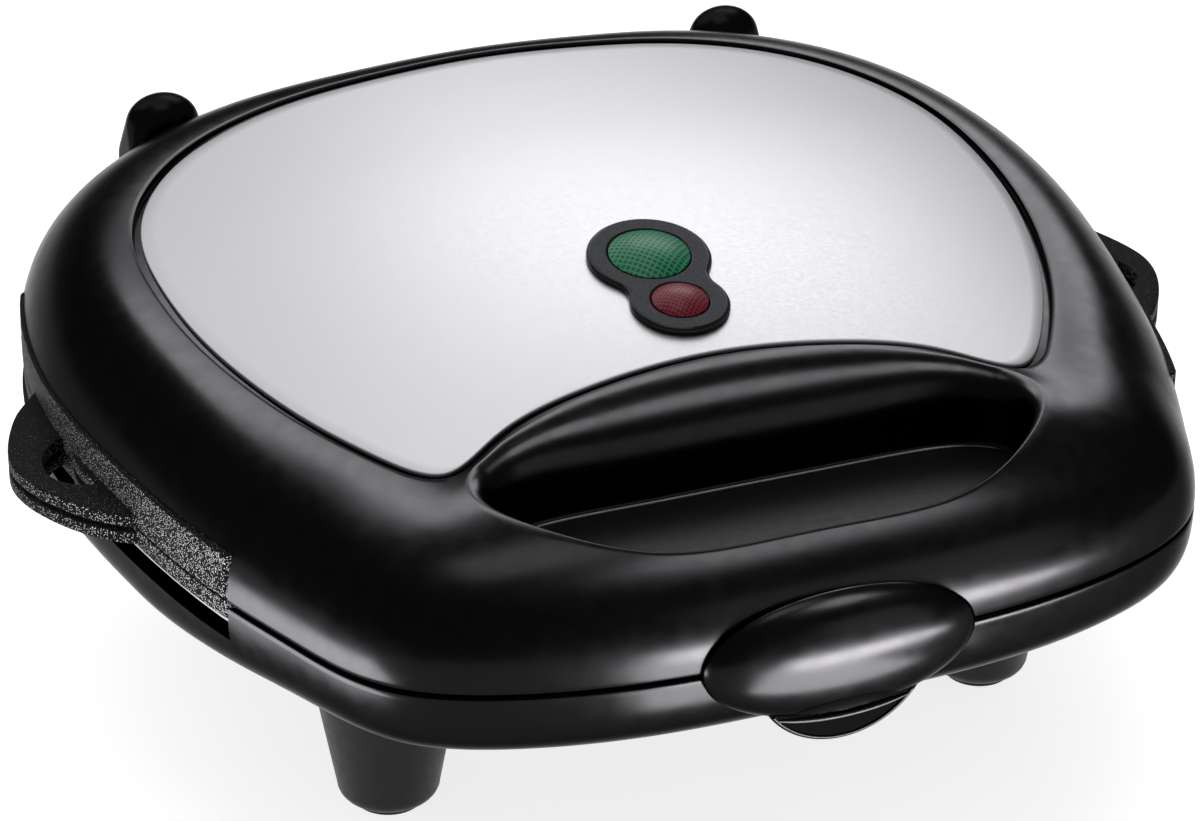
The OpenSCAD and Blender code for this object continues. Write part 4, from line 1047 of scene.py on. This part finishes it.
def gloss_black():
    """Black plastic drawn by its reflection alone, with the bright rim of clear gloss held back."""
    s = Surface("gloss_black", (0.0102, 0.01, 0.0106), 0.24, 1.0)
    s.set(Specular_Tint=(0.5, 0.5, 0.5, 1))
    s.vary_roughness(s.noise(0.25, 3), 0.21, 0.27)
    s.bump(s.noise(3.0, 2), 0.004, 0.5)
    s.bump(s.noise(0.06, 1), 0.12, 0.25)
    return s.mat


def matt_black():
    s = Surface("matt_black", (0.008, 0.008, 0.01), 0.42)
    s.set(Specular_IOR_Level=0.3)
    s.vary_roughness(s.noise(0.5, 2), 0.38, 0.48)
    s.bump(s.noise(2.2, 3), 0.02, 0.5)
    return s.mat


def bezel_matt():
    s = Surface("bezel_matt", (0.045, 0.05, 0.06), 0.6)
    s.set(Specular_IOR_Level=0.2)
    s.bump(s.noise(3.5, 3), 0.03, 0.6)
    s.paint(s.ramp(s.noise(3.5, 3), [(0.35, (0.022, 0.026, 0.032)), (0.7, (0.085, 0.09, 0.105))]))
    return s.mat


def bezel_gloss():
    s = Surface("bezel_gloss", (0.003, 0.003, 0.004), 0.12)
    s.set(Specular_IOR_Level=0.35)
    s.bump(s.noise(2.0, 2), 0.003, 0.4)
    return s.mat


def brushed_steel():
    s = Surface("brushed_top", (0.6, 0.597, 0.625), 0.42, 1.0)
    grain = s.noise(2.6, 3, (0.35, 1.0, 1.0))
    s.vary_roughness(grain, 0.38, 0.46)
    s.bump(grain, 0.006, 0.4)
    return s.mat


def plate_coating():
    """Dark non-stick coating with silver speckles; the spots shrink on flat faces and towards the rear,
    painted shade that darkens the tops and the rear.
    """
    s = Surface("plate_speckle_and_shade", (0.006, 0.006, 0.007), 0.6)
    s.set(Specular_IOR_Level=0.06)
    cells = s.node("TexVoronoi", Scale=2.4)
    s.links.new(s.coords(), cells.inputs["Vector"])
    normal = s.node("NewGeometry").outputs["Normal"]
    # Painted shade: spots shrink on flat faces, so the tops read darker than the upright faces.
    size = s.remap(s.calc("ABSOLUTE", s.axis(normal, "Z"), 0), 0.3, 0.8, 0.3, 0.12)
    # Painted shade: spots shrink from the front towards the rear.
    rear_shade_fade = s.remap(s.axis(s.coords(), "Y"), -60, 30, 1.2, 0.6)
    patch = s.remap(s.noise(0.9, 3), 0.35, 0.65, 0.9, 1.1)
    size = s.calc("MULTIPLY", s.calc("MULTIPLY", size, patch), rear_shade_fade)
    spot = s.calc("LESS_THAN", cells.outputs["Distance"], size)
    s.paint(s.ramp(spot, [(0.0, (0.006, 0.006, 0.007)), (1.0, (0.85, 0.85, 0.87))]))
    s.bump(s.noise(2.5, 3), 0.03, 0.5)
    return s.mat


def rubber():
    s = Surface("rubber", (0.015, 0.015, 0.016), 0.7)
    s.bump(s.noise(2.0, 3), 0.03, 0.5)
    return s.mat


def bright_steel():
    s = Surface("bright_steel_looks", (0.8, 0.8, 0.82), 0.16, 1.0)
    s.vary_roughness(s.noise(0.8, 3), 0.12, 0.22)
    return s.mat


def sheet_aluminium():
    """Bright sheet; below a height its lip and its dish are painted black, matt and rough as shade."""
    s = Surface("sheet_looks", (0.6, 0.6, 0.62), 0.25, 1.0)
    s.bump(s.noise(1.0, 3, (0.1, 2, 2)), 0.01, 0.3)
    height = s.axis(s.coords(), "Z")
    # Painted shade: black non-metal below the height, bright metal above.
    above_shade = s.remap(height, SHADE_TOP_Z, SHADE_TOP_Z + 0.1, 0, 1)
    s.paint(s.ramp(above_shade, [(0.0, (0.012, 0.012, 0.013)), (1.0, (0.6, 0.6, 0.62))]))
    s.links.new(above_shade, s.bsdf.inputs["Metallic"])
    s.links.new(s.remap(height, SHADE_TOP_Z, SHADE_TOP_Z + 0.1, 0.6, 0.25), s.bsdf.inputs["Roughness"])
    return s.mat


def plain(name, colour, roughness, metallic=0.0):
    s = Surface(name, colour, roughness, metallic)
    s.bump(s.noise(1.8, 3), 0.015, 0.4)
    s.vary_roughness(s.noise(0.6, 2), roughness * 0.9, roughness * 1.1)
    return s.mat


def lens_glass(name, light, dark, pitch):
    """Coloured moulded lens: smooth clear dome over a fine crossed ribbing."""
    s = Surface(name, light, 0.4)
    s.set(Specular_IOR_Level=0.2)
    heights = []
    for turn in (math.pi / 4, -math.pi / 4):
        wave = s.node("TexWave", Scale=1 / (pitch * 3.1), Distortion=0.0)
        wave.wave_type = "BANDS"
        wave.bands_direction = "X"
        s.links.new(s.coords(turn=(0, 0, turn)), wave.inputs["Vector"])
        heights.append(wave.outputs["Fac"])
    both = s.calc("MAXIMUM", heights[0], heights[1])
    s.paint(s.ramp(both, [(0.55, dark), (1.0, light)]))
    s.bump(both, 0.12, 0.5)
    s.set(Coat_Weight=0.3, Coat_Roughness=0.22)
    return s.mat


# ---- Assembling ----

def give(obj, mat):
    obj.data.materials.clear()
    obj.data.materials.append(mat)
    return obj


def welded_node(name):
    """A CAD node with its own normals dropped and its matching vertices joined."""
    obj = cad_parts[name]
    own = obj.data.attributes.get("custom_normal")
    if own is not None:
        obj.data.attributes.remove(own)
    weld = obj.modifiers.new("weld", "WELD")
    weld.merge_threshold = 2e-6
    return obj


def crisp_node(name, bevel_mm):
    """Rounds a CAD node's sharp edges a little and smooths its round faces."""
    obj = welded_node(name)
    obj.data.shade_smooth()
    if bevel_mm > 0:
        bevel(obj, bevel_mm, 2, 35)
    split = obj.modifiers.new("edges", "EDGE_SPLIT")
    split.split_angle = math.radians(35)


def smooth_node(name, voxel_mm, turns):
    """Blends a CAD node's faceted hull to one smooth surface."""
    obj = welded_node(name)
    remesh = obj.modifiers.new("even", "REMESH")
    remesh.mode = "VOXEL"
    remesh.voxel_size = voxel_mm * MM
    remesh.use_smooth_shade = True
    smooth = obj.modifiers.new("smooth", "SMOOTH")
    smooth.iterations = turns


def dress(mat, bevel_mm, *names):
    """A better material on CAD nodes that stay, and crisp edges where a bevel is given, if only of 0."""
    for name in names:
        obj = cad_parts[name]
        if not obj.material_slots:
            obj.data.materials.append(mat)
        for slot in obj.material_slots:
            slot.material = mat
        if bevel_mm is not None:
            crisp_node(name, bevel_mm)


def hold(piece, body, slot, *nodes):
    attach(piece, body)
    if nodes:
        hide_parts(*nodes)
    return piece


def build_object():
    black = gloss_black()
    matt = matt_black()
    coating = plate_coating()
    lid_skin = hold(give(make_lid(), black), "lid", "body_plastic", "lid_shell")
    hold(give(make_recess_floor(), matt), "lid", "body_plastic")
    base_skin = hold(give(make_base(), black), "base", "body_plastic", "base_shell")
    lower = hold(give(make_lower_plate(), coating), "base", "plate_coating", "lower_plate")
    upper = hold(give(make_upper_plate(), coating), "lid", "plate_coating", "upper_plate")
    hold(give(make_panel(), brushed_steel()), "lid", "top_steel", "steel_panel")
    rim, top, wells = make_bezel(bezel_gloss(), bezel_matt())
    hold(rim, "lid", "bezel_plastic", "lamp_bezel")
    hold(top, "lid", "bezel_plastic")
    for well in wells:
        hold(well, "lid", "bezel_plastic")
    grip = hold(give(make_grip(), black), "latch", "body_plastic", "latch_grip")
    lip = hold(give(make_disc_lip(), black), "latch", "body_plastic")
    glossy = [lid_skin, base_skin, grip, lip]
    dress(black, 0.4, "latch_lever", "base_hinge_left", "base_hinge_right")
    dress(black, None, "hinge_arm_left", "hinge_arm_right")
    for name in ("hinge_arm_left", "hinge_arm_right"):
        smooth_node(name, 0.5, 10)
    dress(matt, 0, "front_left_foot", "front_right_foot", "rear_left_foot", "rear_right_foot")
    dress(matt, 0.4, "bottom_cover")
    dress(matt, 0.2, "latch_bracket")
    dress(rubber(), 0.2, "foot_pads", "cord_bush")
    dress(sheet_aluminium(), 0, "lower_reflector", "upper_reflector")
    dress(
        bright_steel(), 0, "foot_screws", "cover_screws", "base_hinge_screws", "lower_reflector_screws",
        "upper_reflector_screws", "hinge_arm_screws", "hinge_pins", "latch_pin", "latch_catch",
        "latch_spring", "lower_plate_clips", "upper_plate_clips", "lower_rod_brackets",
        "upper_rod_brackets",
    )
    dress(plain("rod_looks", (0.16, 0.14, 0.12), 0.45, 0.7), 0, "lower_heating_rod", "upper_heating_rod")
    white = plain("ceramic_looks", (0.72, 0.7, 0.63), 0.5)
    dress(white, 0, "lower_rod_bushings", "upper_rod_bushings", "lamp_holder", "terminal_block")
    dress(plain("stat_looks", (0.6, 0.58, 0.54), 0.35, 0.8), None, "thermostat")
    dress(plain("fuse_looks", (0.5, 0.42, 0.22), 0.4, 0.6), None, "thermal_fuse")
    dress(plain("lead_looks", (0.55, 0.55, 0.52), 0.6), None, "base_wires", "lid_wires")
    dress(plain("neon_looks", (0.8, 0.45, 0.3), 0.2), None, "neon_lamps")
    dress(lens_glass("green_looks", (0.008, 0.36, 0.16), (0.0, 0.075, 0.03), 1.2), 0, "green_lens")
    dress(lens_glass("red_looks", (0.36, 0.02, 0.045), (0.09, 0.002, 0.01), 0.85), 0, "red_lens")
    return glossy, [lower, upper]


# ---- Room, lights and camera ----

VIEW_AZIMUTH = math.radians(22.01)
VIEW_ELEVATION = math.radians(29.0)
VIEW_ROLL = math.radians(0.48)
VIEW_TARGET = (0.0, 11.9, 52.7)
VIEW_DISTANCE = 946.0
VIEW_LENS = 125.34
# The world's plain level, the floor's extra glow where it is seen directly, and the room's sizes in metres
ROOM_GLOW = 0.22
FLOOR_GLOW = 0.8
FLOOR_HALF = 10.0
LAMP_DISTANCE = 1.6
LAMP_AIM = (0, 0, 0.07)
CARD_Z = 0.003


def make_camera():
    a, e, r = VIEW_AZIMUTH, VIEW_ELEVATION, VIEW_ROLL
    back = Vector((-math.sin(a) * math.cos(e), -math.cos(a) * math.cos(e), math.sin(e)))
    right = (-back).cross(Vector((0, 0, 1))).normalized()
    up = right.cross(-back)
    x_axis = right * math.cos(r) + up * math.sin(r)
    y_axis = up * math.cos(r) - right * math.sin(r)
    data = bpy.data.cameras.new("camera")
    data.lens = VIEW_LENS
    data.sensor_width = 36.0
    data.clip_end = 20.0
    camera = placed("camera", data)
    place = Matrix((x_axis, y_axis, back)).transposed().to_4x4()
    place.translation = (Vector(VIEW_TARGET) + back * VIEW_DISTANCE) * MM
    camera.matrix_world = place
    bpy.context.scene.camera = camera


def make_floor():
    """A plain pale floor: its paper is lit by the lamps, and seen directly it glows a little as well."""
    s = Surface("floor_paper", (0.9, 0.9, 0.9), 0.9)
    s.set(Emission_Color=(1, 1, 1, 1))
    glow = s.calc("MULTIPLY", seen_directly(s), FLOOR_GLOW)
    s.links.new(glow, s.bsdf.inputs["Emission Strength"])
    mesh = bpy.data.meshes.new("floor")
    corners = [(x * FLOOR_HALF, y * FLOOR_HALF, 0) for x, y in ((-1, -1), (1, -1), (1, 1), (-1, 1))]
    mesh.from_pydata(corners, [], [(0, 1, 2, 3)])
    mesh.materials.append(s.mat)
    placed("floor", mesh)


def area_light(name, place, target, width, height, radiance):
    data = bpy.data.lights.new(name, "AREA")
    data.shape = "RECTANGLE"
    data.size = width
    data.size_y = height
    data.energy = radiance * math.pi * width * height
    lamp = placed(name, data)
    lamp.location = place
    lamp.rotation_euler = (Vector(target) - Vector(place)).to_track_quat("-Z", "Y").to_euler()
    return lamp


def make_world():
    world = bpy.data.worlds.new("studio")
    world.use_nodes = True
    bpy.context.scene.world = world
    room = world.node_tree.nodes["Background"]
    room.inputs["Color"].default_value = (1, 1, 1, 1)
    room.inputs["Strength"].default_value = ROOM_GLOW


def seen_directly(surface):
    """1 for camera, glossy and transmission rays, 0 for the rays that carry diffuse light."""
    path = surface.node("LightPath")
    value = path.outputs["Is Camera Ray"]
    for kind in ("Is Glossy Ray", "Is Transmission Ray"):
        value = surface.calc("MAXIMUM", value, path.outputs[kind])
    return value


def softbox(name, azimuth, elevation, width, height, radiance):
    """Rectangular lamp that faces the toaster; the azimuth runs from the rear (+y) towards the right (+x)."""
    a, e = math.radians(azimuth), math.radians(elevation)
    way = Vector((math.sin(a) * math.cos(e), math.cos(a) * math.cos(e), math.sin(e)))
    return area_light(name, Vector(LAMP_AIM) + LAMP_DISTANCE * way, LAMP_AIM, width, height, radiance)


def reach(lamp, pieces, state):
    """The lamp reaches only these pieces, or all but these, as flags in a studio hold its light."""
    group = bpy.data.collections.new(lamp.name + "_reach")
    for piece in pieces:
        group.objects.link(piece)
    for item in group.collection_objects:
        item.light_linking.link_state = state
    lamp.light_linking.receiver_collection = group


def floor_card(name, x, y, width, depth, radiance):
    """Bright card that lies on the floor out of the picture and faces up."""
    card = area_light(name, (x, y, CARD_Z), (x, y, 1), width, depth, radiance)
    card.visible_camera = False
    return card


def make_room(glossy, plates):
    """One set of lamps for the black shells, which only mirror them, and a plain set for all the rest."""
    make_world()
    make_floor()
    for lamp in (
        softbox("wide_box", 3, 45, 2.5, 1.6, 0.8),
        softbox("key_box", 29, 40, 0.8, 0.6, 1.6),
        softbox("top_box", 0, 88, 0.9, 0.9, 1.0),
    ):
        reach(lamp, glossy, "EXCLUDE")
    for lamp in (
        softbox("rear_sheen", 10, 44, 1.16, 0.5, 22),
        softbox("right_sheen", 40, 26, 0.56, 0.5, 30),
        softbox("front_sheen", 150, 17, 0.9, 0.7, 1.5),
        softbox("high_sheen", 130, 64, 0.56, 0.5, 16),
        softbox("top_sheen", 0, 88, 0.56, 0.5, 5),
        floor_card("left_card", -0.285, -0.048, 0.2, 0.2, 36),
        floor_card("right_card", 0.135, -0.385, 0.26, 0.22, 85),
        floor_card("middle_card", 0.02, -0.25, 0.1, 0.16, 32),
    ):
        reach(lamp, glossy, "INCLUDE")
    reach(softbox("plate_box", -110, 20, 1.2, 1.2, 4.0), plates, "INCLUDE")


make_camera()
make_room(*build_object())
bpy.context.scene.view_settings.view_transform = "Standard"
